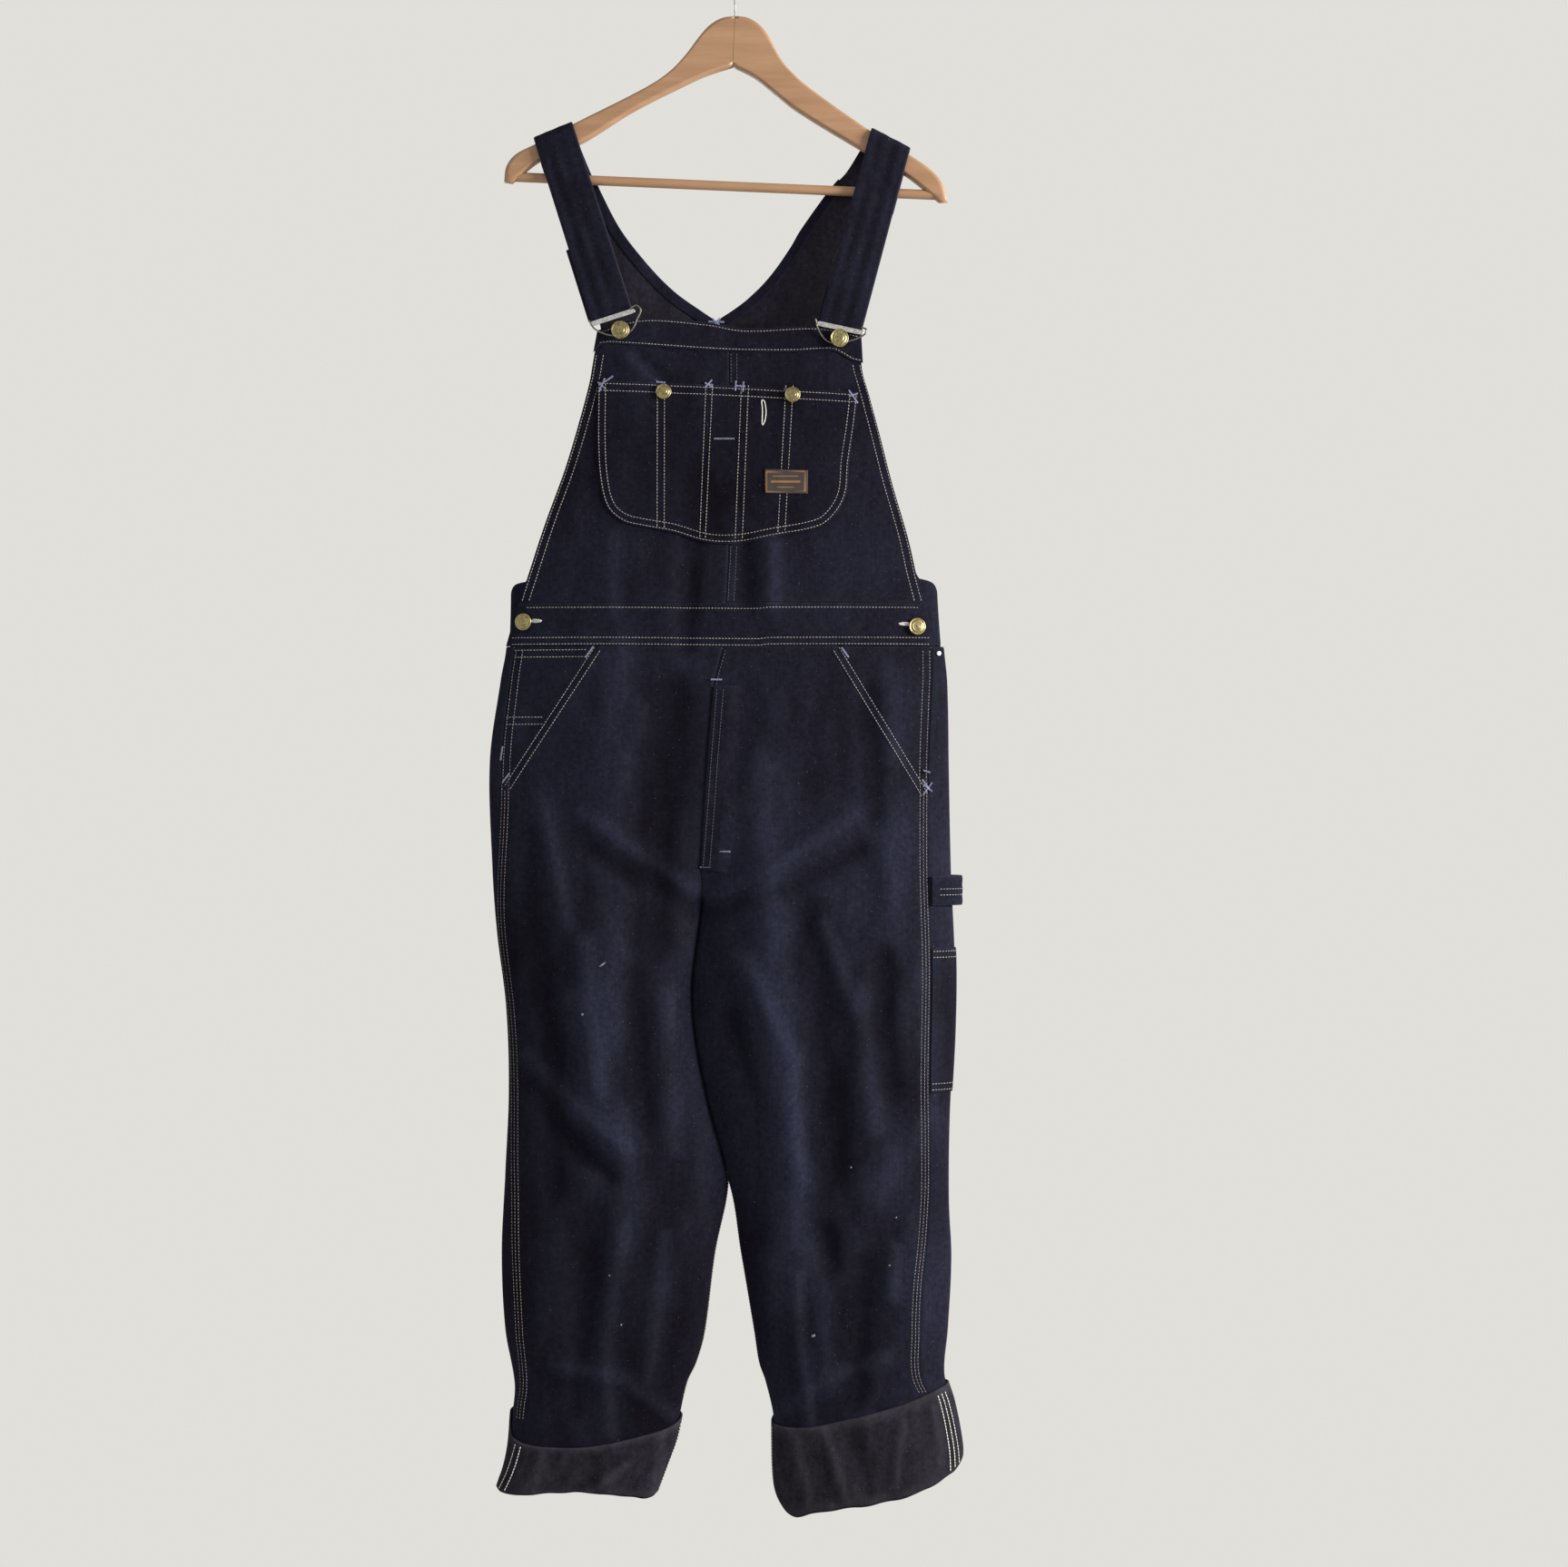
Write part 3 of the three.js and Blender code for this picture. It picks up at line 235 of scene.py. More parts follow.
CREASES = {
    FRONT: [
        (1.4, 9, [(38, -612), (37, -668)]),
        (-1.5, 10, [(12, -610), (14, -668)]),
        (1.4, 9, [(-121, -604), (-119, -680)]),
        (-1.4, 10, [(-46, -640), (-46, -712)]),
        (1.3, 6, [(-108, -423), (-81, -447)]),
        (-1.0, 8, [(-92, -424), (-66, -446)]),
        (1.6, 14, [(160, -742), (158, -815)]),
        (-1.8, 12, [(136, -760), (140, -880)]),
        (2.0, 9, [(-150, -880), (-70, -935), (-36, -958)]),
        (-1.8, 10, [(-140, -915), (-80, -958), (-40, -975)]),
        (2.0, 9, [(120, -880), (40, -930), (-20, -960)]),
        (-1.8, 10, [(126, -915), (50, -955), (-18, -978)]),
        (1.5, 8, [(-190, -870), (-165, -990)]),
        (-1.6, 12, [(-200, -900), (-190, -1060)]),
        (2.4, 12, [(-150, -1010), (-136, -1150)]),
        (-2.2, 13, [(-98, -1040), (-92, -1180)]),
        (1.8, 10, [(-66, -1060), (-60, -1210)]),
        (-2.0, 12, [(-180, -1080), (-178, -1250)]),
        (2.2, 10, [(-205, -1120), (-150, -1180), (-110, -1212)]),
        (-2.0, 10, [(-205, -1150), (-160, -1205), (-120, -1240)]),
        (2.0, 11, [(-112, -1290), (-128, -1400), (-122, -1490)]),
        (-1.8, 11, [(-150, -1320), (-160, -1470)]),
        (1.6, 9, [(-70, -1300), (-84, -1440)]),
        (-2.2, 10, [(91, -1292), (98, -1326)]),
        (2.0, 8, [(60, -1340), (66, -1410), (75, -1486)]),
        (2.2, 9, [(160, -1312), (157, -1358)]),
        (-1.8, 12, [(128, -1330), (122, -1460)]),
        (1.6, 8, [(87, -989), (107, -1038), (118, -1075)]),
        (2.2, 12, [(126, -1060), (138, -1190)]),
        (-2.0, 11, [(150, -1020), (158, -1150)]),
        (1.8, 10, [(186, -1040), (196, -1180)]),
        (2.0, 10, [(10, -1030), (56, -1120), (64, -1240)]),
        (-1.8, 12, [(0, -1080), (30, -1180), (28, -1300)]),
        (1.8, 9, [(40, -1480), (90, -1440), (150, -1420)]),
        (1.8, 9, [(-60, -1478), (-110, -1440), (-180, -1428)]),
    ],
    BACK: [
        (1.8, 10, [(-150, -900), (-80, -950), (-36, -966)]),
        (1.8, 10, [(130, -900), (60, -945), (-18, -966)]),
        (-1.8, 12, [(-130, -930), (-70, -978)]),
        (-1.8, 12, [(120, -930), (40, -976)]),
        (2.2, 12, [(-150, -1020), (-140, -1180)]),
        (-2.0, 12, [(-100, -1050), (-96, -1200)]),
        (2.2, 12, [(130, -1020), (140, -1180)]),
        (-2.0, 12, [(160, -1040), (166, -1200)]),
        (2.0, 10, [(-200, -1130), (-120, -1215)]),
        (2.0, 10, [(196, -1140), (110, -1225)]),
        (1.8, 10, [(-110, -1300), (-130, -1460)]),
        (1.8, 10, [(90, -1300), (120, -1460)]),
        (1.2, 10, [(-60, -420), (-80, -640)]),
        (-1.2, 12, [(40, -430), (60, -640)]),
        (1.2, 10, [(-150, -560), (-40, -660)]),
    ],
}


CREASE_GAIN = 1.6


def relief(face, x, z):
    """How far the cloth stands out of its plain section: folds, creases and unevenness."""
    gained = [(CREASE_GAIN * rise, width, line) for rise, width, line in CREASES[face]]
    height = creased(np.zeros(np.broadcast(x, z).shape), x, z, FOLDS[face] + gained)
    seed = 3 if face == FRONT else 17
    below = np.clip((WAIST + 30 - z) / 90, 0, 1)
    warped = x + 14 * noise(x / 70, z / 160, seed + 5)
    height += (0.8 + 1.1 * below) * noise(warped / 46, z / 135, seed)
    height += (0.55 + 0.45 * below) * noise(warped / 19, (z - x * 0.4) / 44, seed + 1)
    height += 0.22 * noise(x / 8, z / 12, seed + 2)
    return height


def closing_angle(z):
    """Where a half section ends: at the middle, and further round below the crotch."""
    under = np.clip((RISE_START - z) / (RISE_START - CROTCH), 0, 1)
    return math.pi - np.arcsin(np.sqrt(1 - under * under) ** (1 / ROUNDNESS))


def section(side, z):
    """Radius across, and centre, of one side's section of the body or leg."""
    z = np.asarray(z, float)
    inner = middle_line(z) + side * (leg_spread(z) + np.where(z < RISE_START, LEG_CLEARANCE, 0))
    outer = side_line[side](z)
    radius = np.abs(outer - inner) / (1 - np.cos(closing_angle(z)))
    return radius, outer - side * radius


def ring_point(side, z, angle, out=0.0):
    """Points of the cloth at angles round a section: 0 at the side, positive on the front."""
    z, angle, out = np.broadcast_arrays(*(np.asarray(a, float) for a in (z, angle, out)))
    radius, centre = section(side, z)
    across = np.abs(np.sin(angle)) ** ROUNDNESS
    x = centre + side * (radius + out) * np.cos(angle)
    front, back = ((depth[face](z) + out) * across + relief(face, x, z) * across**2 for face in (FRONT, BACK))
    return np.stack([x, np.where(angle >= 0, -front, back), z], -1)


def x_angle(side, x, z):
    radius, centre = section(side, z)
    return np.arccos(np.clip(side * (x - centre) / radius, -1, 1))


def at_xz(face, x, z, out=0.0, side=None):
    """Points on the front or back by x and z; below the crotch the side is the nearer leg."""
    x, z, out = np.broadcast_arrays(*(np.asarray(a, float) for a in (x, z, out)))
    if side is not None:
        return ring_point(side, z, -face * x_angle(side, x, z), out)
    left, right = (at_xz(face, x, z, out, each) for each in SIDES)
    return np.where((x < middle_line(z))[..., None], left, right)


def inset_angle(side, z, inset):
    """The angle of a line that lies this far in from the garment's side, as seen from the front."""
    return np.arccos(1 - inset / section(side, z)[0])


def outseam_angle(side, z):
    seen = np.maximum(z, CUFF_SEAM_LEVEL)
    return inset_angle(side, seen, outseam_inset[side](seen))


def cuff_level(side, angle, down):
    """Heights on a turned-up cuff, down from its top edge to its lower edge."""
    a = np.abs(angle)
    top, low = (np.where(np.asarray(angle) >= 0, front(a), back(a)) for front, back in cuff_edges[side])
    return lerp(top, low, down)


# ---- materials ----
def new_material(name, **settings):
    """A material, its node tree, its shader and the object's own coordinates."""
    material = bpy.data.materials.new(name)
    material.use_nodes = True
    tree = material.node_tree
    shader = tree.nodes["Principled BSDF"]
    for key, value in settings.items():
        shader.inputs[key.replace("_", " ")].default_value = value
    return material, tree, shader, tree.nodes.new("ShaderNodeTexCoord").outputs["Object"]


def node(tree, kind, **values):
    """A node, with each value set on the socket of that name, or else on the node itself."""
    made = tree.nodes.new(kind)
    for key, value in values.items():
        socket = key.replace("_", " ")
        if socket in made.inputs:
            made.inputs[socket].default_value = value
        else:
            setattr(made, key, value)
    return made


def feed(tree, sockets, values):
    """Sets each socket to its number or colour, or links it to another node's output."""
    for socket, value in zip(sockets, values):
        if isinstance(value, (int, float)):
            socket.default_value = value
        elif isinstance(value, tuple):
            socket.default_value = (*value, 1)
        else:
            tree.links.new(value, socket)


def attribute(tree, name):
    return node(tree, "ShaderNodeAttribute", attribute_name=name).outputs["Fac"]


def ramp(tree, source, *stops):
    made = tree.nodes.new("ShaderNodeValToRGB")
    elements = made.color_ramp.elements
    for element, (at, level) in zip(elements, stops):
        element.position = at
        element.color = (level, level, level, 1)
    tree.links.new(source, made.inputs["Fac"])
    return made.outputs["Color"]


def math_node(tree, operation, *values):
    made = node(tree, "ShaderNodeMath", operation=operation)
    feed(tree, made.inputs, values)
    return made.outputs["Value"]


def mixed(tree, factor, a, b, blend="MIX"):
    made = node(tree, "ShaderNodeMix", data_type="RGBA", blend_type=blend)
    feed(tree, (made.inputs["Factor"], made.inputs[6], made.inputs[7]), (factor, a, b))
    return made.outputs[2]


def toned(tree, colour, by):
    return mixed(tree, 1.0, colour, by, "MULTIPLY")


def mapped(tree, coords, **values):
    mapping = node(tree, "ShaderNodeMapping", **values)
    tree.links.new(coords, mapping.inputs["Vector"])
    return mapping.outputs["Vector"]


def noise_node(tree, coords, scale, detail=3.0, rough=0.55, stretch=None):
    if stretch:
        coords = mapped(tree, coords, Scale=stretch)
    made = node(tree, "ShaderNodeTexNoise", Scale=scale, Detail=detail, Roughness=rough)
    tree.links.new(coords, made.inputs["Vector"])
    return made.outputs["Fac"]


def dress(tree, shader, colour, height, strength, distance):
    """Gives the shader its colour and its bump, whose distance is in metres."""
    tree.links.new(colour, shader.inputs["Base Color"])
    bump = node(tree, "ShaderNodeBump", Strength=strength, Distance=distance)
    tree.links.new(height, bump.inputs["Height"])
    tree.links.new(bump.outputs["Normal"], shader.inputs["Normal"])


TWILL = 349.0  # wave scale of a 0.9 mm twill line
TWILL_SLANT = math.radians(62)


def cloth_material(name, base, light, worn_and_highlit, lint, roughness, weave_depth):
    """Twill cloth: diagonal lines, warp streaks, patchy fading, painted light on the fold ridges, paler abraded
    edges and pale lint.
    """
    material, tree, shader, coords = new_material(
        name, Roughness=roughness, Specular_IOR_Level=0.04, Sheen_Weight=0.008, Sheen_Roughness=0.45,
        Sheen_Tint=(0.55, 0.58, 0.75, 1))
    wave = node(tree, "ShaderNodeTexWave", Scale=TWILL, Distortion=1.2, Detail=1.0, Detail_Scale=1.6)
    tree.links.new(mapped(tree, coords, Rotation=(0, TWILL_SLANT, 0)), wave.inputs["Vector"])
    twill = wave.outputs["Fac"]
    streaks = noise_node(tree, coords, 420, 2.0, 0.6, (1, 1, 0.05))
    patches = noise_node(tree, coords, 7.5, 4.0, 0.55, (1, 1, 0.6))
    grain = noise_node(tree, coords, 1500, 2.0, 0.6)
    mottle = noise_node(tree, coords, 210, 3.0, 0.7)
    patchy = math_node(tree, "MULTIPLY", ramp(tree, patches, (0.36, 0.0), (0.68, 1.0)), 0.36)
    # Mixes in the lighter colour by the fade attribute, painted light on fold ridges, and by random patchy
    # fading.
    colour = mixed(tree, math_node(tree, "MULTIPLY_ADD", attribute(tree, "fade"), 0.85, patchy), base, light)
    colour = toned(tree, colour, ramp(tree, mottle, (0.32, 0.68), (0.70, 1.30)))
    tone = math_node(tree, "MULTIPLY", math_node(tree, "MULTIPLY_ADD", streaks, 0.5, 0.75),
                     math_node(tree, "MULTIPLY_ADD", twill, 0.34, 0.80))
    grey = tree.nodes.new("ShaderNodeCombineColor")
    feed(tree, grey.inputs, (tone, tone, tone))
    colour = toned(tree, colour, grey.outputs["Color"])
    # The paler colour goes on as abrasion at edges and as a painted highlight on ridges.
    rubbed_and_highlit = math_node(tree, "MULTIPLY", attribute(tree, "wear"), ramp(tree, grain, (0.25, 0.35), (0.75, 1.0)))
    colour = mixed(tree, rubbed_and_highlit, colour, worn_and_highlit)
    specks = ramp(tree, noise_node(tree, coords, 620, 1.0, 0.5), (0.75, 0.0), (0.80, 0.45))
    colour = mixed(tree, specks, colour, lint)
    height = math_node(tree, "ADD", twill, math_node(tree, "MULTIPLY", grain, 0.9))
    dress(tree, shader, colour, height, 0.55, weave_depth)
    return material


# Each cloth's darker and lighter colours are shaded and lit copies of one denim, mixed by the painted light on
# its folds and by random patches.
DENIM = cloth_material("denim", (0.0034, 0.0027, 0.0052), (0.0128, 0.0136, 0.0262), (0.045, 0.047, 0.078),
                       (0.12, 0.115, 0.12), 0.88, 0.00022)
REVERSE = cloth_material("denim_reverse", (0.0070, 0.0060, 0.0092), (0.0205, 0.0182, 0.0255),
                         (0.075, 0.071, 0.082), (0.17, 0.165, 0.16), 0.92, 0.00026)


def thread_material(name, pale, dull):
    material, tree, shader, coords = new_material(name, Roughness=0.7, Sheen_Weight=0.2)
    twist = ramp(tree, noise_node(tree, coords, 2600, 1.0), (0.3, 0.75), (0.7, 1.0))
    colour = toned(tree, mixed(tree, attribute(tree, "tone"), dull, pale), twist)
    tree.links.new(colour, shader.inputs["Base Color"])
    return material


THREAD = thread_material("thread_pale", (0.29, 0.27, 0.225), (0.10, 0.095, 0.088))
TAN = thread_material("thread_tan", (0.235, 0.205, 0.180), (0.075, 0.068, 0.066))
TACK = thread_material("thread_lavender", (0.27, 0.29, 0.46), (0.13, 0.14, 0.27))
DARK = thread_material("thread_navy", (0.016, 0.018, 0.036), (0.006, 0.007, 0.014))
WHITE = thread_material("thread_white", (0.72, 0.70, 0.64), (0.45, 0.43, 0.40))


def metal_material(name, base, dark, roughness):
    material, tree, shader, coords = new_material(name, Metallic=1.0)
    tarnish = ramp(tree, noise_node(tree, coords, 330, 4.0, 0.65), (0.42, 0.0), (0.68, 1.0))
    scratches = noise_node(tree, coords, 900, 3.0, 0.6, (1, 1, 0.15))
    rough = ramp(tree, scratches, (0.3, roughness * 0.7), (0.7, min(1.0, roughness * 1.5)))
    tree.links.new(rough, shader.inputs["Roughness"])
    dress(tree, shader, mixed(tree, tarnish, base, dark), scratches, 0.12, 0.0001)
    return material


BRASS = metal_material("old_brass", (0.31, 0.255, 0.125), (0.13, 0.105, 0.055), 0.38)
STEEL = metal_material("plated_steel", (0.62, 0.62, 0.62), (0.36, 0.36, 0.36), 0.28)
WIRE_STEEL = metal_material("dull_wire", (0.20, 0.185, 0.155), (0.085, 0.078, 0.065), 0.36)


def beech_material():
    material, tree, shader, coords = new_material(
        "beech_wood", Roughness=0.5, Coat_Weight=0.06, Coat_Roughness=0.35)
    grain = noise_node(tree, coords, 95, 5.0, 0.6, (0.09, 1, 1))
    flecks = ramp(tree, noise_node(tree, coords, 700, 2.0, 0.5, (0.12, 1, 1)), (0.62, 0.0), (0.72, 0.55))
    colour = mixed(tree, ramp(tree, grain, (0.30, 0.0), (0.70, 1.0)),
                   (0.293, 0.168, 0.090), (0.219, 0.116, 0.058))
    dress(tree, shader, mixed(tree, flecks, colour, (0.24, 0.125, 0.064)), grain, 0.15, 0.0002)
    return material


BEECH = beech_material()


def label_material():
    """Woven label: fine ribs, dark in the middle and orange at the border, by an attribute."""
    material, tree, shader, coords = new_material("woven_label", Roughness=0.72)
    colour = mixed(tree, attribute(tree, "tone"), (0.021, 0.0115, 0.008), (0.27, 0.115, 0.034))
    ribs = node(tree, "ShaderNodeTexWave", Scale=420.0, Distortion=0.6, bands_direction="Z")
    tree.links.new(coords, ribs.inputs["Vector"])
    colour = toned(tree, colour, ramp(tree, ribs.outputs["Fac"], (0.0, 0.65), (1.0, 1.0)))
    dress(tree, shader, colour, ribs.outputs["Fac"], 0.4, 0.0002)
    return material


LABEL = label_material()


# ---- meshes ----
def new_object(name, points, faces, materials, slot, indices=None, **attributes):
    """A mesh object from points in mm; faces are rows of one length each, in a list of arrays."""
    mesh = bpy.data.meshes.new(name)
    sets = [np.asarray(f, np.int32) for f in faces]
    mesh.vertices.add(len(points))
    mesh.vertices.foreach_set("co", (np.asarray(points, float) * MM).astype(np.float32).ravel())
    corners = np.concatenate([f.ravel() for f in sets])
    sizes = np.concatenate([np.full(len(f), f.shape[1], np.int32) for f in sets])
    mesh.loops.add(len(corners))
    mesh.loops.foreach_set("vertex_index", corners)
    mesh.polygons.add(len(sizes))
    starts = np.concatenate([[0], np.cumsum(sizes)[:-1]])
    mesh.polygons.foreach_set("loop_start", starts.astype(np.int32))
    for material in materials:
        mesh.materials.append(material)
    if indices is not None:
        mesh.polygons.foreach_set("material_index", np.asarray(indices, np.int32))
    mesh.polygons.foreach_set("use_smooth", np.full(len(sizes), True))
    for key, values in attributes.items():
        mesh.attributes.new(key, "FLOAT", "POINT").data.foreach_set("value", np.asarray(values, np.float32))
    mesh.update()
    mesh.validate()
    made = placed(name, mesh)
    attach(made, "root")
    return made


def grid_quads(rows, columns, round_rows=0, round_columns=0):
    """Quads over a grid of points, joined round where it closes on itself."""
    at = np.pad(np.arange(rows * columns).reshape(rows, columns), ((0, round_rows), (0, round_columns)), "wrap")
    return np.stack([at[:-1, :-1], at[:-1, 1:], at[1:, 1:], at[1:, :-1]], -1).reshape(-1, 4)


def outward(points, *face_sets):
    """Sets of faces, turned so that the closed mesh they make encloses a positive volume."""
    volume = 0.0
    for faces in face_sets:
        for k in range(1, faces.shape[1] - 1):
            a, b, c = (points[faces[:, n]] for n in (0, k, k + 1))
            volume += np.einsum("ij,ij->i", a, np.cross(b, c)).sum()
    return [faces if volume > 0 else faces[:, ::-1] for faces in face_sets]


# Distances in mm of a border's rows from the edge, and the share of half the thickness each loses.
BORDER = np.array([0.0, 0.45, 1.3, 2.6])
ROLL = np.array([0.95, 0.42, 0.12, 0.0])


def fractions(size, step):
    """Even fractions along a length in mm, with extra rows close to both ends for a soft border."""
    start = BORDER[-1] * 1.6 / size
    count = max(2, round((size - 2 * BORDER[-1] * 1.6) / step))
    near = BORDER / size
    return np.concatenate([near, np.linspace(start, 1 - start, count + 1), 1 - near[::-1]])


def border_loss(rows, columns, soft):
    """How much of the wall is rounded off at each point of a grid."""
    def lost(count, first, last):
        loss = np.zeros(count)
        if first:
            loss[:4] = ROLL
        if last:
            loss[-4:] = np.maximum(loss[-4:], ROLL[::-1])
        return loss
    top, bottom, left, right = soft
    return np.maximum(lost(rows, top, bottom)[:, None], lost(columns, left, right)[None, :])


def wall_faces(rows, columns):
    """Quads of a closed wall between two like grids: the outer one, the inner one and the rims."""
    at, n = np.arange(rows * columns).reshape(rows, columns), rows * columns
    outer = grid_quads(rows, columns)
    rims = [np.stack([line[:-1], line[1:], line[1:] + n, line[:-1] + n], -1)[:, ::turn]
            for line, turn in ((at[0], -1), (at[-1], 1), (at[:, 0], 1), (at[:, -1], -1))]
    return outer, outer[:, ::-1] + n, np.concatenate(rims)


def wear_of(grid, edge_loss):
    """Paler cloth: a painted highlight where the sheet stands proud of its neighbours, and abrasion along
    borders.
    """
    y = grid[..., 1]
    rough = np.zeros_like(y)
    for step in (1, 3):
        padded = np.pad(y, step, mode="edge")
        near = (padded[step:-step, : -2 * step] + padded[step:-step, 2 * step:]
                + padded[: -2 * step, step:-step] + padded[2 * step:, step:-step]) / 4
        rough += np.abs(near) - np.abs(y)
    ridge = np.clip(-rough * 1.6, 0, 1) * 0.05
    return np.clip(ridge + 0.30 * np.clip(edge_loss, 0, 0.6), 0, 0.5)


def fade_and_lit_ridges_of(points):
    """The share of the lighter colour: painted light where the cloth stands proud on its folds, which also stands
    for indigo fading there.
    """
    x, y, z = points.T
    height = np.where(y < 0, relief(FRONT, x, z), relief(BACK, x, z))
    # Painted shade: the lower left leg gets less of the lighter colour. The band across the bib pocket's height
    # also gets less, so it is darker.
    shin = np.clip((-1060 - z) / 160, 0, 1) * np.clip(-x / 50, 0, 1)
    under_pocket = np.clip((z + 610) / 12, 0, 1) * np.clip((-448 - z) / 8, 0, 1)
    return np.clip(0.27 + height / 7.5 - np.where(y < 0, 0.22 * shin + 0.12 * under_pocket, 0), 0, 1)


def shell(name, cad, surface, u, v, low, high, soft=(1, 1, 1, 1), materials=(DENIM, REVERSE), slot="denim"):
    """A closed thin wall on a sheet. surface(u, v, out) gives points; u runs across, v down."""
    uu, vv = np.meshgrid(u, v)
    loss = border_loss(*uu.shape, soft)
    half, mid = (high - low) / 2, (high + low) / 2
    outer = surface(uu, vv, mid + half * (1 - loss * 0.85))
    inner = surface(uu, vv, mid - half * (1 - loss * 0.85))
    points = np.concatenate([outer.reshape(-1, 3), inner.reshape(-1, 3)])
    face_sets = wall_faces(*uu.shape)
    # The two colour attributes carry painted light on the fold ridges, along with fading and abrasion.
    made = new_object(name, points, outward(points, np.concatenate(face_sets)), materials, slot,
                      indices=np.repeat([0, 1, 0], [len(faces) for faces in face_sets]),
                      fade=fade_and_lit_ridges_of(points), wear=np.tile(wear_of(outer, loss).ravel(), 2))
    if cad:
        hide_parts(cad)
    return made


# ---- cloth panels ----
def torso_x(side, z, from_x, to_x, u):
    """x across a half sheet from its seam to its edge, evenly spread in angle."""
    radius, centre = section(side, z)
    return centre + side * radius * np.cos(lerp(x_angle(side, from_x, z), x_angle(side, to_x, z), u))


def bib_surface(side):
    def surface(u, v, out):
        level = lerp(BIB_TOP, BAND_TOP + SEAM, v)
        top_x, x = (torso_x(side, z, middle_line(z) + side * SEAM, bib_edge[side](z), u)
                    for z in (BIB_TOP, level))
        return at_xz(FRONT, x, lerp(bib_top(top_x), BAND_TOP + SEAM, v), out, side)
    return surface


# Above this level the back stands further out, to pass behind the hanger's arms.
BEHIND_LEVEL, BEHIND_PUSH = -246, 2.6


def back_surface(side):
    def surface(u, v, out):
        z = lerp(lerp(*BACK_TOP[side], u), WAIST + SEAM, v)
        seam = np.where(z > NECK, neck_line[side](z), back_seam(z) + side * SEAM)
        behind_arm = BEHIND_PUSH * np.clip((z - BEHIND_LEVEL) / 10, 0, 1)
        return at_xz(BACK, torso_x(side, z, seam, back_edge[side](z), u), z, out + behind_arm, side)
    return surface


# The slanted front pockets' edges, from the waist down to the side.
SLASH = {LEFT: [(-139, -712), (-229.5, -850)], RIGHT: [(107, -712), (195, -857)]}
POCKET_SINK = 3.2


def slash_x(side, z):
    (ax, az), (bx, bz) = SLASH[side]
    return ax + (bx - ax) * (z - az) / (bz - az)


def sunk(side, x, z):
    """The front panel drops behind the slanted pocket's edge, where the facing shows instead."""
    (ax, az), (bx, bz) = SLASH[side]
    past = side * (x - slash_x(side, z)) * abs(az - bz) / math.hypot(bx - ax, bz - az)
    t = np.clip((past + 4) / 5, 0, 1) * np.clip((z - bz + 8) / 16, 0, 1)
    return POCKET_SINK * t * t * (3 - 2 * t)


def leg_surface(side, face):
    def surface(u, v, out):
        """v runs from the waist to just inside the cuff, its rows tilting towards the cuff's slant."""
        last = -face * lerp(-face * outseam_angle(side, CUFF_SEAM_LEVEL), closing_angle(CUFF_SEAM_LEVEL), u)
        last = np.where(np.abs(last) < 1e-6, -face * 1e-6, last)
        foot = cuff_level(side, last, LEG_JOIN)
        split = (WAIST - TOOL_BOTTOM) / LEG_LENGTH
        z = np.where(v < split, lerp(WAIST - SEAM, TOOL_BOTTOM, v / split),
                     lerp(TOOL_BOTTOM, foot, np.clip((v - split) / (1 - split), 0, 1)))
        pull = SEAM / section(side, z)[0]
        first = outseam_angle(side, z)
        if face == FRONT:
            angle = lerp(first + pull, closing_angle(z) - pull, u)
            out = out - sunk(side, ring_point(side, z, angle)[..., 0], z)
        else:
            angle = lerp(first - pull, -closing_angle(z) + pull, u)
        return ring_point(side, z, angle, out)
    return surface


def leg_rows(step):
    """Fractions down a leg: even, and closer where the crotch seam curves under."""
    z = [WAIST + (RISE_START - WAIST) * k for k in np.linspace(0, 1, round(158 / step) + 1)]
    z += [RISE_START + (CROTCH - RISE_START) * math.sin(k)
          for k in np.linspace(0, math.pi / 2, round(130 / step) + 1)[1:]]
    z += list(np.linspace(CROTCH, LEG_END, round(532 / step) + 1)[1:])
    return np.concatenate([BORDER / LEG_LENGTH, (WAIST - np.array(z[1:])) / LEG_LENGTH])


for side in SIDES:
    word = WORD[side]
    shell(f"bib_cloth_{word}", f"bib_{word}", bib_surface(side), fractions(165, 3.4), fractions(275, 3.6),
          -CLOTH, 0)
    shell(f"back_cloth_{word}", f"back_{word}", back_surface(side), fractions(190, 4.2), fractions(480, 4.2),
          -CLOTH, 0, slot="denim_inside")
    for face, half in ((FRONT, "front"), (BACK, "back")):
        shell(f"{half}_leg_cloth_{word}", f"{half}_leg_{word}", leg_surface(side, face), fractions(230, 4.0),
              leg_rows(4.0), -CLOTH, 0, soft=(1, 0, 1, 1))


# ---- pieces that lie on the panels ----
def along(line):
    """A smooth line through points, read by its share of length."""
    p = np.array(line, float)
    share = run_of(p)
    share /= share[-1]
    reads = [curve(*zip(share, p[:, k])) for k in range(p.shape[1])]
    return lambda t: [read(t) for read in reads]


def patch_surface(face, top, right, bottom, left, side=None, fade=0.0):
    """A patch inside four lines. fade lets its right edge sink into the panel below."""
    t, r, b, l = (along(line) for line in (top, right, bottom, left))

    def surface(u, v, out):
        x, z = (
            lerp(t(u)[k], b(u)[k], v) + lerp(l(v)[k], r(v)[k], u)
            - lerp(lerp(t(0.0)[k], t(1.0)[k], u), lerp(b(0.0)[k], b(1.0)[k], u), v)
            for k in (0, 1))
        return at_xz(face, x, z, out - fade * np.clip((u - 0.55) / 0.4, 0, 1), side)

    return surface


def overlay(name, cad, surface, width, length, low=LAY_GAP, high=ON_PATCH, step=3.4, **options):
    return shell(name, cad, surface, fractions(width, step), fractions(length, step), low, high, **options)


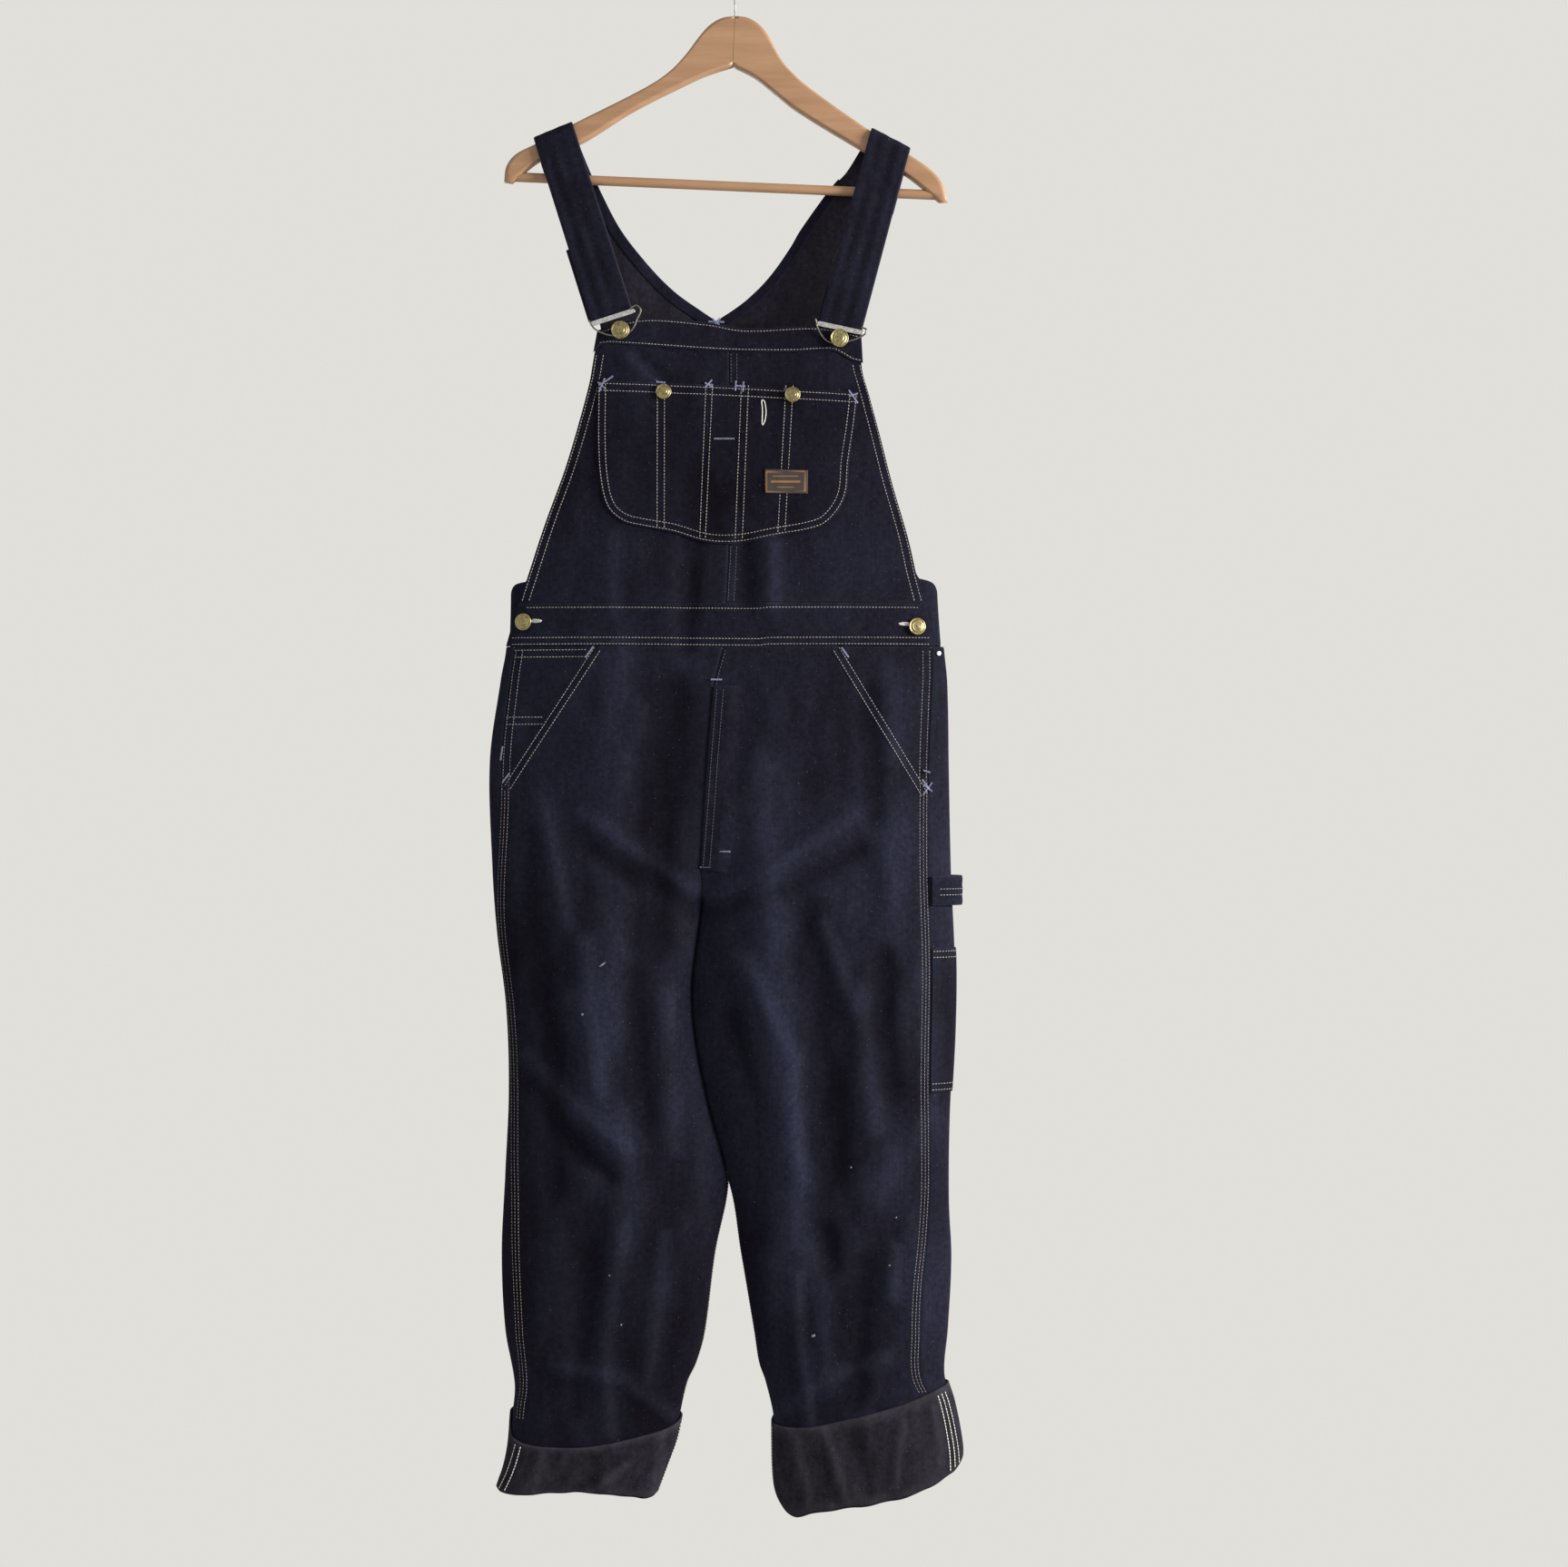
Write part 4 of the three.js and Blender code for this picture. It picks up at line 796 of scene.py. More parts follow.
TOP_LINE = [(-135, -397), (-91, -385.4), (-27, -389.4), (10, -395.2), (85, -393.4), (127, -401)]
HEM_LINE = [(-139, -419), (-131, -411), (-110, -411), (-27, -417), (61, -419), (98, -417.5),
            (118, -427), (128.6, -429.5)]
HEM = (TOP_LINE, [TOP_LINE[-1], HEM_LINE[-1]], HEM_LINE, [TOP_LINE[0], HEM_LINE[0]])
overlay("bib_hem_cloth", "bib_hem", patch_surface(FRONT, *HEM), 262, 27, step=2.8)

POCKET = ([(-135, -447), (-5, -452.5), (124, -459)],
          [(124, -459), (115, -529), (112, -560), (103, -580), (86, -594)],
          [(-108, -590), (-59, -600), (-30, -609), (-10, -611), (10, -610), (43, -604), (86, -594)],
          [(-135, -447), (-135, -517), (-131, -556), (-123, -577), (-108, -590)])
overlay("bib_pocket_cloth", "bib_pocket", patch_surface(FRONT, *POCKET), 255, 145, step=2.8)

LABEL_X, LABEL_Z = (31, 73.2), (-536.8, -560.7)
label_surface = patch_surface(
    FRONT, [(31, -536.5), (73.4, -537.5)], [(73.4, -537.5), (73, -561)], [(31.3, -560.5), (73, -561)],
    [(31, -536.5), (31.3, -560.5)])
label = overlay("label_cloth_patch", "bib_label", label_surface, 42, 24, low=2.1, high=2.9, step=0.45,
                materials=(LABEL, LABEL), slot="label_cloth")
# the orange border line's distance from the label's edge, and half the height of a plain bar
BORDER_LINE, BAR_HALF = 1.9, 0.55
spots = np.empty(len(label.data.vertices) * 3, np.float32)
label.data.vertices.foreach_get("co", spots)
x, _, z = (spots.reshape(-1, 3) / MM).T
inset = np.minimum.reduce([x - 31.2, 73.2 - x, -537.0 - z, z + 560.8])
woven = np.clip(1.5 - np.abs(inset - BORDER_LINE) * 2.4, 0, 1)
for level, reach, thick in ((-543.6, 13, 0.8), (-549.0, 15, 1.9), (-554.6, 9, 0.8)):
    bar = np.clip((thick * BAR_HALF - np.abs(z - level)) * 2 + 0.5, 0, 1)
    woven = np.maximum(woven, 0.75 * bar * np.clip(reach - np.abs(x - 52.2), 0, 1))
label.data.attributes.new("tone", "FLOAT", "POINT").data.foreach_set("value", woven.astype(np.float32))


def band_surface(u, v, out):
    z = lerp(BAND_TOP - SEAM, WAIST + SEAM, v)
    left = torso_x(LEFT, z, bib_edge[LEFT](z), middle_line(z), np.clip(2 * u, 0, 1))
    right = torso_x(RIGHT, z, middle_line(z), bib_edge[RIGHT](z), np.clip(2 * u - 1, 0, 1))
    return at_xz(FRONT, np.where(u < 0.5, left, right), z, out)


overlay("waistband_cloth", "waistband_front", band_surface, 430, 43, low=-CLOTH, high=ON_BAND, step=3.0)

# Each placket's first and last angle round the side, and its top edge by angle.
PLACKETS = {
    LEFT: (-0.26, 0.52, curve((-0.26, -662), (0, -658), (0.2, -650), (0.52, -646))),
    RIGHT: (-0.26, 0.56, curve((-0.26, -660), (0, -656), (0.2, -648), (0.56, -642))),
}
PLACKET_LOW, PLACKET_OUT, FACING_OUT = -711, -3.0, -0.9


def placket_surface(side):
    start, end, top = PLACKETS[side]

    def surface(u, v, out):
        angle = lerp(start, end, u)
        return ring_point(side, lerp(top(angle), PLACKET_LOW, v), angle, out)

    return surface


def facing_surface(side):
    def surface(u, v, out):
        z = lerp(WAIST - SEAM, SLASH[side][1][1] - 2, v)
        start = x_angle(side, slash_x(side, z) - side * 5 * (1 - v), z)
        end = outseam_angle(side, z) + SEAM / section(side, z)[0]
        return ring_point(side, z, lerp(start, np.minimum(end, start), u), out)

    return surface


for side in SIDES:
    overlay(f"placket_cloth_{WORD[side]}", f"placket_{WORD[side]}", placket_surface(side), 120, 60,
            low=PLACKET_OUT - CLOTH, high=PLACKET_OUT)
    overlay(f"facing_cloth_{WORD[side]}", f"pocket_facing_{WORD[side]}", facing_surface(side), 90, 140,
            low=FACING_OUT - CLOTH, high=FACING_OUT)

FLY = ([(-19, -752), (12, -752)], [(12, -752), (6, -900), (-2, -938)], [(-31.4, -934), (-2, -938)],
       [(-19, -752), (-26, -840), (-31.4, -934)])
overlay("fly_cloth", "fly", patch_surface(FRONT, *FLY, side=RIGHT, fade=2.0), 32, 184, step=2.6)

BACK_POCKETS = {
    LEFT: ([(-206, -749), (-60, -749)], [(-60, -749), (-66, -878)], [(-203, -878), (-134, -906), (-66, -878)],
           [(-206, -749), (-203, -878)]),
    RIGHT: ([(58, -749), (213, -749)], [(213, -749), (214.6, -886)], [(64, -880), (132, -912), (214.6, -886)],
            [(58, -749), (64, -880)]),
}
for side in SIDES:
    overlay(f"back_pocket_cloth_{WORD[side]}", f"back_pocket_{WORD[side]}",
            patch_surface(BACK, *BACK_POCKETS[side], side=side), 152, 142)


NECK_HEM = 10.6


def neck_hem_surface(side):
    """The neck's edge, turned to the inside and sewn down."""
    def surface(u, v, out):
        z = lerp(-240.0, NECK + 1.0, v)
        slope = (neck_line[side](z + 1) - neck_line[side](z - 1)) / 2
        inset = (0.3 + NECK_HEM * u) / np.sqrt(1 + slope * slope)
        return at_xz(BACK, neck_line[side](z) + side * inset, z - inset * np.abs(slope), -CLOTH - 0.2 - out, side)
    return surface


for side in SIDES:
    overlay(f"neck_hem_{WORD[side]}", None, neck_hem_surface(side), 10, 200, low=0.0, high=0.9, step=2.4)


def tool_surface(u, v, out):
    z = lerp(TOOL_TOP - SEAM, TOOL_BOTTOM + SEAM, v)
    first = outseam_angle(RIGHT, z)
    return ring_point(RIGHT, z, lerp(first, -closing_angle(z), u * 0.5), out)


overlay("tool_pocket_cloth", "tool_pocket", tool_surface, 120, 144)


# ---- turned-up cuffs ----
# A cuff's section: (share of its height, distance out), up from the leg and back inside it.
TURN_UP = along([
    (0, 1.3), (0, 2.9), (0.06, 3.0), (0.3, 2.9), (0.62, 2.95), (0.9, 2.9), (0.98, 2.1), (1, 0.6),
    (0.98, -0.9), (0.93, -1.6), (0.62, -1.6), (LEG_JOIN + 0.006, -1.6), (LEG_JOIN + 0.006, 0),
    (0.62, 0), (0.93, 0.1), (0.93, 1.2), (0.62, 1.3), (0.3, 1.3), (0, 1.3)])
CUFF_DROP = 78.0  # mean height of a cuff, which makes its section's shares into lengths
CUFF_CREASES = {
    LEFT: [(2.0, 4.5, [(-108, -1526), (-154, -1561)]), (-1.6, 5, [(-118, -1522), (-166, -1556)]),
           (1.6, 5, [(-70, -1500), (-78, -1556)]), (1.4, 6, [(-190, -1516), (-200, -1552)]),
           (-1.2, 5, [(-136, -1518), (-138, -1548)])],
    RIGHT: [(1.8, 5, [(90, -1490), (112, -1562)]), (-1.5, 6, [(120, -1484), (134, -1552)]),
            (1.5, 5, [(168, -1480), (160, -1545)]), (1.3, 5, [(60, -1500), (74, -1566)]),
            (1.3, 5, [(200, -1470), (206, -1528)])],
}


def make_cuff(side):
    start, end = outseam_angle(side, CUFF_SEAM_LEVEL), closing_angle(CUFF_SEAM_LEVEL)
    angles = np.concatenate([np.linspace(start, end, 84)[:-1], np.linspace(-end, start, 96)[:-1]])
    profile = np.concatenate([np.linspace(0, 0.40, 34)[:-1], np.linspace(0.40, 1, 36)[:-1]])
    line = np.array([(a * CUFF_DROP, b) for a, b in zip(*TURN_UP(np.linspace(0, 1, 400)))])
    run = run_of(line)
    even = np.interp(profile, run / run[-1], np.linspace(0, 1, 400))
    down, out = (np.array(q) for q in TURN_UP(even))
    aa, dd = np.meshgrid(angles, down)
    oo = np.broadcast_to(out[:, None], aa.shape)
    z = cuff_level(side, aa, dd)
    points = ring_point(side, z, aa, oo)
    lift = creased(0.5 * noise(aa * 7, z / 16, 41 + side) + 0.3 * noise(aa * 19, z / 7, 43),
                   points[..., 0], z, CUFF_CREASES[side])
    outer = np.clip((oo - 1.2) / 1.2, 0, 1) * np.abs(np.sin(aa))
    points[..., 1] += np.where(aa >= 0, -1, 1) * np.clip(lift, -1.0, 2.4) * outer
    points[..., 2] += 0.9 * noise(aa * 5, dd * 2, 47 + side) * np.where(dd > 0.9, 1, 0)
    flat = points.reshape(-1, 3)
    ends = np.minimum(dd, 1 - dd)
    # Paler on the crease ridges: painted light there, along with abrasion at the cuff's folded edges and random
    # fading.
    wear = np.clip(0.28 - ends * 2.0, 0, 0.28) * (oo > 1) + 0.10 * np.clip(lift, 0, 1)
    fade = np.clip(0.42 + 0.22 * lift + 0.2 * noise(aa * 6, dd * 4, 53), 0, 1)
    made = new_object(f"cuff_cloth_{WORD[side]}", flat, outward(flat, grid_quads(*aa.shape, 1, 1)), (REVERSE,),
                      "denim_inside", fade=fade.ravel(), wear=np.clip(wear, 0, 0.5).ravel())
    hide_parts(f"cuff_{WORD[side]}")


for side in SIDES:
    make_cuff(side)


# ---- bands: straps, their doubled ends and the hammer loop ----
def band(name, cad, centres, acrosses, thickness, columns, bulge, seed):
    """A soft-edged strap along centres, with one half-width vector for each of its rows."""
    w = np.concatenate([[-1, -0.975, -0.93, -0.86], np.linspace(-0.75, 0.75, columns), [0.86, 0.93, 0.975, 1]])
    normal = unit(np.cross(np.gradient(centres, axis=0), acrosses))
    round_off = np.sqrt(np.clip(1 - np.abs(w) ** 14, 0.03, 1))
    run = np.repeat(run_of(centres)[:, None], len(w), 1)
    ridge = bulge * (0.6 * np.cos(w * 9.0) + 0.7 * noise(run / 26, w[None, :] * 2.6, 60 + seed))
    ridge = ridge * np.clip((1 - np.abs(w)) * 5, 0, 1)
    middle = centres[:, None] + acrosses[:, None] * w[None, :, None]
    half = thickness / 2 * round_off[None, :]
    outer = middle + normal[:, None] * (half + ridge)[..., None]
    inner = middle - normal[:, None] * (half - ridge * 0.5)[..., None]
    points = np.concatenate([outer.reshape(-1, 3), inner.reshape(-1, 3)])
    # Paler where the strap bulges: painted light there, along with abrasion along its edges.
    wear = 0.34 * np.clip((np.abs(w) - 0.9) * 10, 0, 1) + 0.10 * np.clip(ridge, 0, 1)
    fade = np.clip(0.34 + 0.5 * ridge, 0, 1)
    faces = np.concatenate(wall_faces(*outer.shape[:2]))
    made = new_object(name, points, outward(points, faces), (DENIM,), "denim",
                      fade=np.tile(fade.ravel(), 2), wear=np.tile(wear.ravel(), 2))
    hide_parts(cad)
    return outer, normal


STRAP_THICKNESS, STRAP_LENGTH = 2.2, 196.0  # the length is from the hanger's top down the front
ARM_WRAP, WRAP_DROP = 8.8, 9.8  # radius of the turn over the arm, and how far down it starts
FRONT_Y = -14.6  # y of a strap's lower end
TAIL_START, TAIL_END = 14, 66  # how far down behind the arm a strap is sewn to the back
# Each strap's top and bottom edges, (left, right) ends as (x, z), then its doubled end's start and shift.
STRAPS = {
    LEFT: ([(-200.7, -201), (-162, -185)], [(-141, -390), (-100.6, -376)], 120, -3),
    RIGHT: ([(138.7, -191), (177.5, -211.5)], [(85, -390), (128, -399)], 158, -2.5),
}


def strap_rows(side, down, y, shift=0.0):
    top, bottom = (np.array(q, float) for q in STRAPS[side][:2])
    t = (down / STRAP_LENGTH)[:, None]
    a, b = lerp(top[0], bottom[0], t), lerp(top[1], bottom[1], t)
    a, b = (np.stack([q[:, 0] + shift, y, q[:, 1]], -1) for q in (a, b))
    return (a + b) / 2, (b - a) / 2


def strap_front_y(down):
    return lerp(-ARM_WRAP, FRONT_Y, (down - WRAP_DROP) / (STRAP_LENGTH - WRAP_DROP))


strap_faces = {}
for side in SIDES:
    end_from, end_shift = STRAPS[side][2:]
    down = np.linspace(STRAP_LENGTH, WRAP_DROP, 74)
    turn = np.linspace(0, math.pi, 19)[1:]
    tail_down = np.linspace(TAIL_START, TAIL_END, 22)
    downs = np.concatenate([down, WRAP_DROP - ARM_WRAP * np.sin(turn), tail_down])
    sag = 0.7 * np.sin(down / 31.0 + side) * np.clip((down - 14) / 40, 0, 1) * np.clip((190 - down) / 40, 0, 1)
    ys = np.concatenate([strap_front_y(down) + sag * 0.6, -ARM_WRAP * np.cos(turn),
                         np.interp(tail_down, [WRAP_DROP, 30, TAIL_END], [ARM_WRAP, 12, 13])])
    centres, acrosses = strap_rows(side, downs, ys)
    _, normal = band(f"strap_cloth_{WORD[side]}", f"strap_{WORD[side]}", centres, acrosses,
                     STRAP_THICKNESS, 14, 0.45, side)
    strap_faces[side] = (centres, acrosses, normal)
    behind = STRAP_THICKNESS / 2 + LAY_GAP + CLOTH / 2
    down = np.linspace(end_from, STRAP_LENGTH - 1, 30)
    centres, acrosses = strap_rows(side, down, strap_front_y(down) + behind, end_shift)
    band(f"strap_end_cloth_{WORD[side]}", f"strap_end_{WORD[side]}", centres, acrosses, CLOTH, 12, 0.2,
         5 + side)

LOOP_LEVEL, LOOP_HALF = -955.7, 14.75
loop_seam = float(outseam_angle(RIGHT, LOOP_LEVEL))
loop_ends = [ring_point(RIGHT, LOOP_LEVEL, loop_seam + a, LAY_GAP + CLOTH) for a in (0, -0.1)]
loop_back = [ring_point(RIGHT, LOOP_LEVEL, a, LAY_GAP + CLOTH) for a in (-0.62, -0.74)]
loop_route = along([*loop_ends, (219, -12.5, LOOP_LEVEL), (227, -6, LOOP_LEVEL), (228.8, 2, LOOP_LEVEL),
                    (224, 10.5, LOOP_LEVEL), *loop_back])
loop_centres = np.stack(loop_route(np.linspace(0, 1, 44)), -1)
loop_outer, loop_normal = band("hammer_loop_cloth", "hammer_loop", loop_centres,
                               np.tile((0.0, 0.0, LOOP_HALF), (44, 1)), CLOTH, 10, 0.25, 9)


# ---- stitches ----
RING = np.array([(1, 0), (0, 1), (-1, 0), (0, -1)], float)
# The four rings of a stitch: place along it, size, and lift off the cloth.
STITCH_RINGS = ((-0.5, 0.45, -0.30), (-0.28, 1, 0.12), (0.28, 1, 0.12), (0.5, 0.45, -0.30))
STITCH_POINTS = 16
STITCH_FACES = np.concatenate([grid_quads(4, 4, 0, 1), [(3, 2, 1, 0), (12, 13, 14, 15)]])
seams = {}


def add_stitches(group, centre, forward, normal, length, width, height):
    forward, normal = unit(forward), unit(normal)
    aside = np.cross(normal, forward)
    rings = [centre[:, None] + forward[:, None] * (a * length)
             + aside[:, None] * (RING[None, :, :1] * scale * width / 2)
             + normal[:, None] * (RING[None, :, 1:] * scale * height / 2 + lift * height)
             for a, scale, lift in STITCH_RINGS]
    points = np.concatenate(rings, 1)
    k = np.arange(len(centre)) + 13.0 * len(seams.get(group, []))
    tone = np.clip(0.62 + 0.32 * hashed(k, 3.0, 5) + 0.3 * noise(k / 9, k * 0 + 0.5, 6), 0.05, 1)
    seams.setdefault(group, []).append((points, np.repeat(tone, STITCH_POINTS)))


def resampled(points, pitch, normals):
    """Points a stitch apart along a line, the way it runs at each, and the cloth's normals there."""
    run = run_of(points)
    count = max(1, int(run[-1] / pitch))
    at = (np.arange(count) + 0.5) * run[-1] / count
    read = lambda q, s: np.stack([np.interp(s, run, q[:, k]) for k in range(3)], -1)
    return read(points, at), read(points, at + 0.5) - read(points, at - 0.5), read(normals, at)


def sew(group, points, normals, pitch=3.2, length=2.3, width=0.72, height=0.6, cross=False):
    centre, forward, normal = resampled(points, pitch, normals)
    if cross:
        forward = np.cross(normal, forward)
    add_stitches(group, centre, forward, normal, length, width, height)


def face_normal(face, a, b):
    n = np.cross(a, b)
    return n * np.where(n[..., 1:2] * face > 0, 1, -1)


def spot_and_normal(face, x, z, out, side=None, reach=1):
    """Points on the front or back, and normals that point away from the garment."""
    spot = lambda dx, dz: at_xz(face, x + dx, z + dz, out, side)
    return spot(0, 0), face_normal(face, spot(reach, 0) - spot(-reach, 0), spot(0, reach) - spot(0, -reach))


def sew_xz(group, face, line, out=0.0, side=None, **style):
    """A row of stitches on the front or back, along a line of (x, z)."""
    length = sum(math.dist(a, b) for a, b in zip(line, line[1:]))
    x, z = along(line)(np.linspace(0, 1, max(8, int(length / 1.2))))
    sew(group, *spot_and_normal(face, x, z, out + 0.12, side), **style)


def sew_beside(group, face, line, high, low, count, by, side):
    """A row of stitches beside a line that is known at every height."""
    z = np.linspace(high, low, count)
    sew_xz(group, face, list(zip(line(z) + by, z)), side=side)


def sew_ring(group, side, z, angle, out=0.0, **style):
    """A row of stitches along heights and angles round a leg or the body's side."""
    spot = lambda da, dz: ring_point(side, z + dz, angle + da, out + 0.12)
    normal = np.cross(spot(0.02, 0) - spot(-0.02, 0), spot(0, 1) - spot(0, -1))
    here = spot(0, 0)
    centre = section(side, z)[1]
    away = np.stack([here[:, 0] - centre, here[:, 1], 0 * centre], -1)
    normal *= np.where((normal * away).sum(1) > 0, 1, -1)[:, None]
    sew(group, here, normal, **style)


def shifted(line, by):
    """A line moved sideways, to its left as it runs."""
    p = np.array(line, float)
    t = unit(np.gradient(p, axis=0))
    return [tuple(q) for q in p + by * np.stack([-t[:, 1], t[:, 0]], -1)]


def tack(a, b, out, side=None):
    sew_xz("tacks", FRONT, [a, b], out, side, pitch=0.9, length=1.9, width=0.62, height=0.8, cross=True)


def sew_inside(a, b):
    """A bar tack on the back's inner face, where the neck's two sides meet."""
    x, z = (np.linspace(p, q, 20) for p, q in zip(a, b))
    spot, normal = spot_and_normal(BACK, x, z, -CLOTH - 1.3)
    sew("tacks", spot, -normal, pitch=0.8, length=2.3, width=0.75, height=0.9, cross=True)


def bib_stitches():
    g = "bib_stitching"
    sew_xz(g, FRONT, [(-133, -409.5), (-121, -408.5), (-27, -414.8), (10, -416.5), (61, -416.6), (96, -415),
                      (104, -417.2), (118, -425), (126, -427)], ON_PATCH)
    x = np.linspace(-131, 123, 30)
    sew_xz(g, FRONT, list(zip(x, bib_top(x) - 3.2)), ON_PATCH)
    for side in SIDES:
        for inset in (3, 10):
            sew_beside(g, FRONT, bib_edge[side], -431 if side == RIGHT else -421, -667, 30, -side * inset, side)
            sew_beside("back_stitching", BACK, back_edge[side], -250, -704, 40, -side * inset, side)
        z = np.linspace(-240, -379, 24)
        sew_xz("back_stitching", BACK, list(zip(neck_line[side](z) + side * 4, z - 1.5)), side=side)
    for shift in (1.8, 7.6):
        for high, low in ((-420, -450), (-613, -668)):
            sew_beside("navy_bib", FRONT, middle_line, high, low, 10, shift, RIGHT)
        sew_beside("back_stitching", BACK, back_seam, -388, -706, 30, shift, RIGHT)
    for drop in (3.0, 10.0):
        sew_xz(g, FRONT, [(-132.6, -447 - drop), (-5, -452.6 - drop), (121.5, -458.8 - drop)], ON_PATCH)
    outline = [(-132.6, -450), (-132.6, -517), (-129, -554.5), (-122, -575), (-108, -587), (-89.5, -592),
               (-59, -597.5), (-31, -606), (-13, -608.5), (8, -607.6), (43, -601), (85, -592), (101, -578),
               (110, -559), (112.6, -529), (118, -492), (121.5, -462)]
    sew_xz(g, FRONT, outline, ON_PATCH)
    sew_xz(g, FRONT, shifted(outline, 6.2), ON_PATCH)
    foot = ([-90, -59, -31, -13, 8, 43, 85], [-591, -597, -605, -607, -606, -600, -591])
    for a, b in ((-75, -75), (-68, -68), (-27, -33), (-20.5, -27.5), (8, 2), (15, 9), (52, 44), (59, 51)):
        sew_xz(g, FRONT, [(a, -452), (b, float(np.interp(b, *foot)))], ON_PATCH)
    for row, start, end in ((-673.6, -206, 184), (-703.6, -221, 195), (-710, -221, 195)):
        sew_xz(g, FRONT, [(start, row), (-90, row - 0.6), (24, row - 1.8), (36, row - 0.6), (end, row)], ON_BAND)
    for a, b in (((-134, -449), (-126, -456)), ((114, -463), (123, -460)), ((-26, -452), (-20, -452)),
                 ((3, -453), (12, -453.6)), ((-19, -506), (1, -506)), ((-76, -449), (-67, -449.6)),
                 ((50, -456), (60, -456.4)),
                 ((-133, -459), (-127, -445)), ((-128, -449), (-119, -443)), ((114, -457), (123, -470)),
                 ((-28, -455), (-21, -447)), ((-28, -450), (-20, -455)), ((2.5, -448), (2, -458)),
                 ((10, -449), (9.5, -459))):
        tack(a, b, ON_PATCH)
    for a, b in (((-26, -383), (-10, -383.6)), ((-22, -379.5), (-14, -388)), ((-14, -379.5), (-22, -388))):
        sew_inside(a, b)


def trouser_stitches():
    f, b = "front_stitching", "back_stitching"
    for side in SIDES:
        start, end = SLASH[side]
        for shift in (2.6, 9.0):
            line = shifted([start, tuple(np.mean([start, end], 0)), end], -side * shift)
            sew_xz(f, FRONT, line, 0.55, side)
        foot = -1483 if side == LEFT else -1455
        z = np.concatenate([np.linspace(-716, -850, 40), np.linspace(-852, foot, 160)])
        for offset, part in ((2.4, z), (5.6, z[z < -855]), (9.2, z)):
            angle = inset_angle(side, part, outseam_inset[side](part) + offset)
            sew_ring("outseam_stitching", side, part, angle, np.where(part > -850, FACING_OUT, 0.0), width=0.66)
        # the inseam, on the back of both legs and the front of the left
        z = np.linspace(-1000, -1462, 120)
        for offset in (5.0, 11.0):
            angle = closing_angle(z) - offset / (section(side, z)[0] * 1.1)
            if side == LEFT:
                low = z < -1235
                sew_ring(f, side, z[low], angle[low], width=0.7, height=0.5)
            sew_ring(b, side, z, -angle)
        for row in (-3, -9):
            sew_xz(b, BACK, [(side * x - 10, WAIST + row) for x in (14, 100, 186)], 0.0, side)
        top, right, bottom, left = BACK_POCKETS[side]
        inner, outer = (right, left) if side == LEFT else (left, right)
        for line, dx, dz in ((top, 0, -3), (top, 0, -10), (inner, side * 3, 0), (outer, -side * 4, 0),
                             (bottom, 0, 3), (bottom, 0, 9)):
            sew_xz(b, BACK, [(x + dx, z + dz) for x, z in line], ON_PATCH, side)
    for shift in (3.0, 9.0):
        sew_beside(b, BACK, middle_line, -716, -945, 70, shift, RIGHT)
    for shift in (3.0, 9.4):
        line = [(-19 + shift, -755), (-25.6 + shift, -840), (-31.4 + shift, -931)]
        sew_xz("navy_fly", FRONT, line, ON_PATCH, RIGHT)
    sew_beside("navy_fly", FRONT, middle_line, -716, -752, 8, 3, RIGHT)
    for rows, across in (((-716, -723), (-146, -186, -220)), ((-783, -790), (-190, -212, -228))):
        for row in rows:
            sew_xz(f, FRONT, [(x, row) for x in across], FACING_OUT, LEFT)
    for level in (TOOL_TOP - 3, TOOL_TOP - 9, TOOL_BOTTOM + 3, TOOL_BOTTOM + 9):
        angle = np.linspace(outseam_angle(RIGHT, level), -1.2, 90)
        sew_ring(f, RIGHT, np.full(90, level), angle, ON_PATCH)
    for start, end, side in (((-138, -713), (-146, -724), LEFT), ((-222, -839), (-229, -848), LEFT),
                        ((107, -714), (114, -724), RIGHT), ((187, -845), (194, -855), RIGHT),
                        ((-22, -746), (-11, -746), None), ((-13, -916.5), (-2, -916.5), RIGHT),
                        ((-32, -932), (-21, -932), RIGHT), ((-229, -812), (-231, -826), LEFT),
                        ((188, -836), (195, -838), RIGHT), ((188, -850), (197, -857), RIGHT),
                        ((197, -848), (188, -860), RIGHT)):
        tack(start, end, 1.2, side)
    for level in (-954, -960):
        edge = loop_outer[4:-4, 8].copy()
        edge[:, 2] = level
        sew(f, edge + loop_normal[4:-4] * 0.35, loop_normal[4:-4])


def cuff_stitches():
    g = "cuff_stitching"
    for side, angles in ((LEFT, ((0.48, 0.35), (0.61, 0.53))),
                         (RIGHT, ((0.40, 0.36), (0.50, 0.47), (0.59, 0.57)))):
        for first, last in angles:
            angle = np.linspace(first, last, 40)
            z = cuff_level(side, angle, np.linspace(0.06, 0.94, 40))
            sew_ring(g, side, z, angle, 3.2, pitch=3.0, length=2.7, width=1.0)
        for face in (FRONT, BACK):
            angle = np.full(40, -face * (closing_angle(LEG_END) - 0.14))
            sew_ring(g, side, cuff_level(side, angle, np.linspace(0.06, 0.92, 40)), angle, 3.0)


def strap_stitches():
    for side in SIDES:
        centres, acrosses, normal = strap_faces[side]
        for share in (-0.84, 0.84):
            sew("navy_strap", centres + acrosses * share + normal * (STRAP_THICKNESS / 2 + 0.1), normal)
    centres, acrosses, normal = strap_faces[RIGHT]
    low = (centres[:, 2] < -345) & (centres[:, 1] < 0)
    spots = centres[low] - 0.95 * np.sign(acrosses[low, :1]) * acrosses[low]
    sew("selvedge", spots + normal[low] * (STRAP_THICKNESS / 2 + 0.1), normal[low], pitch=2.4, length=2.3,
        width=1.2, height=0.8)


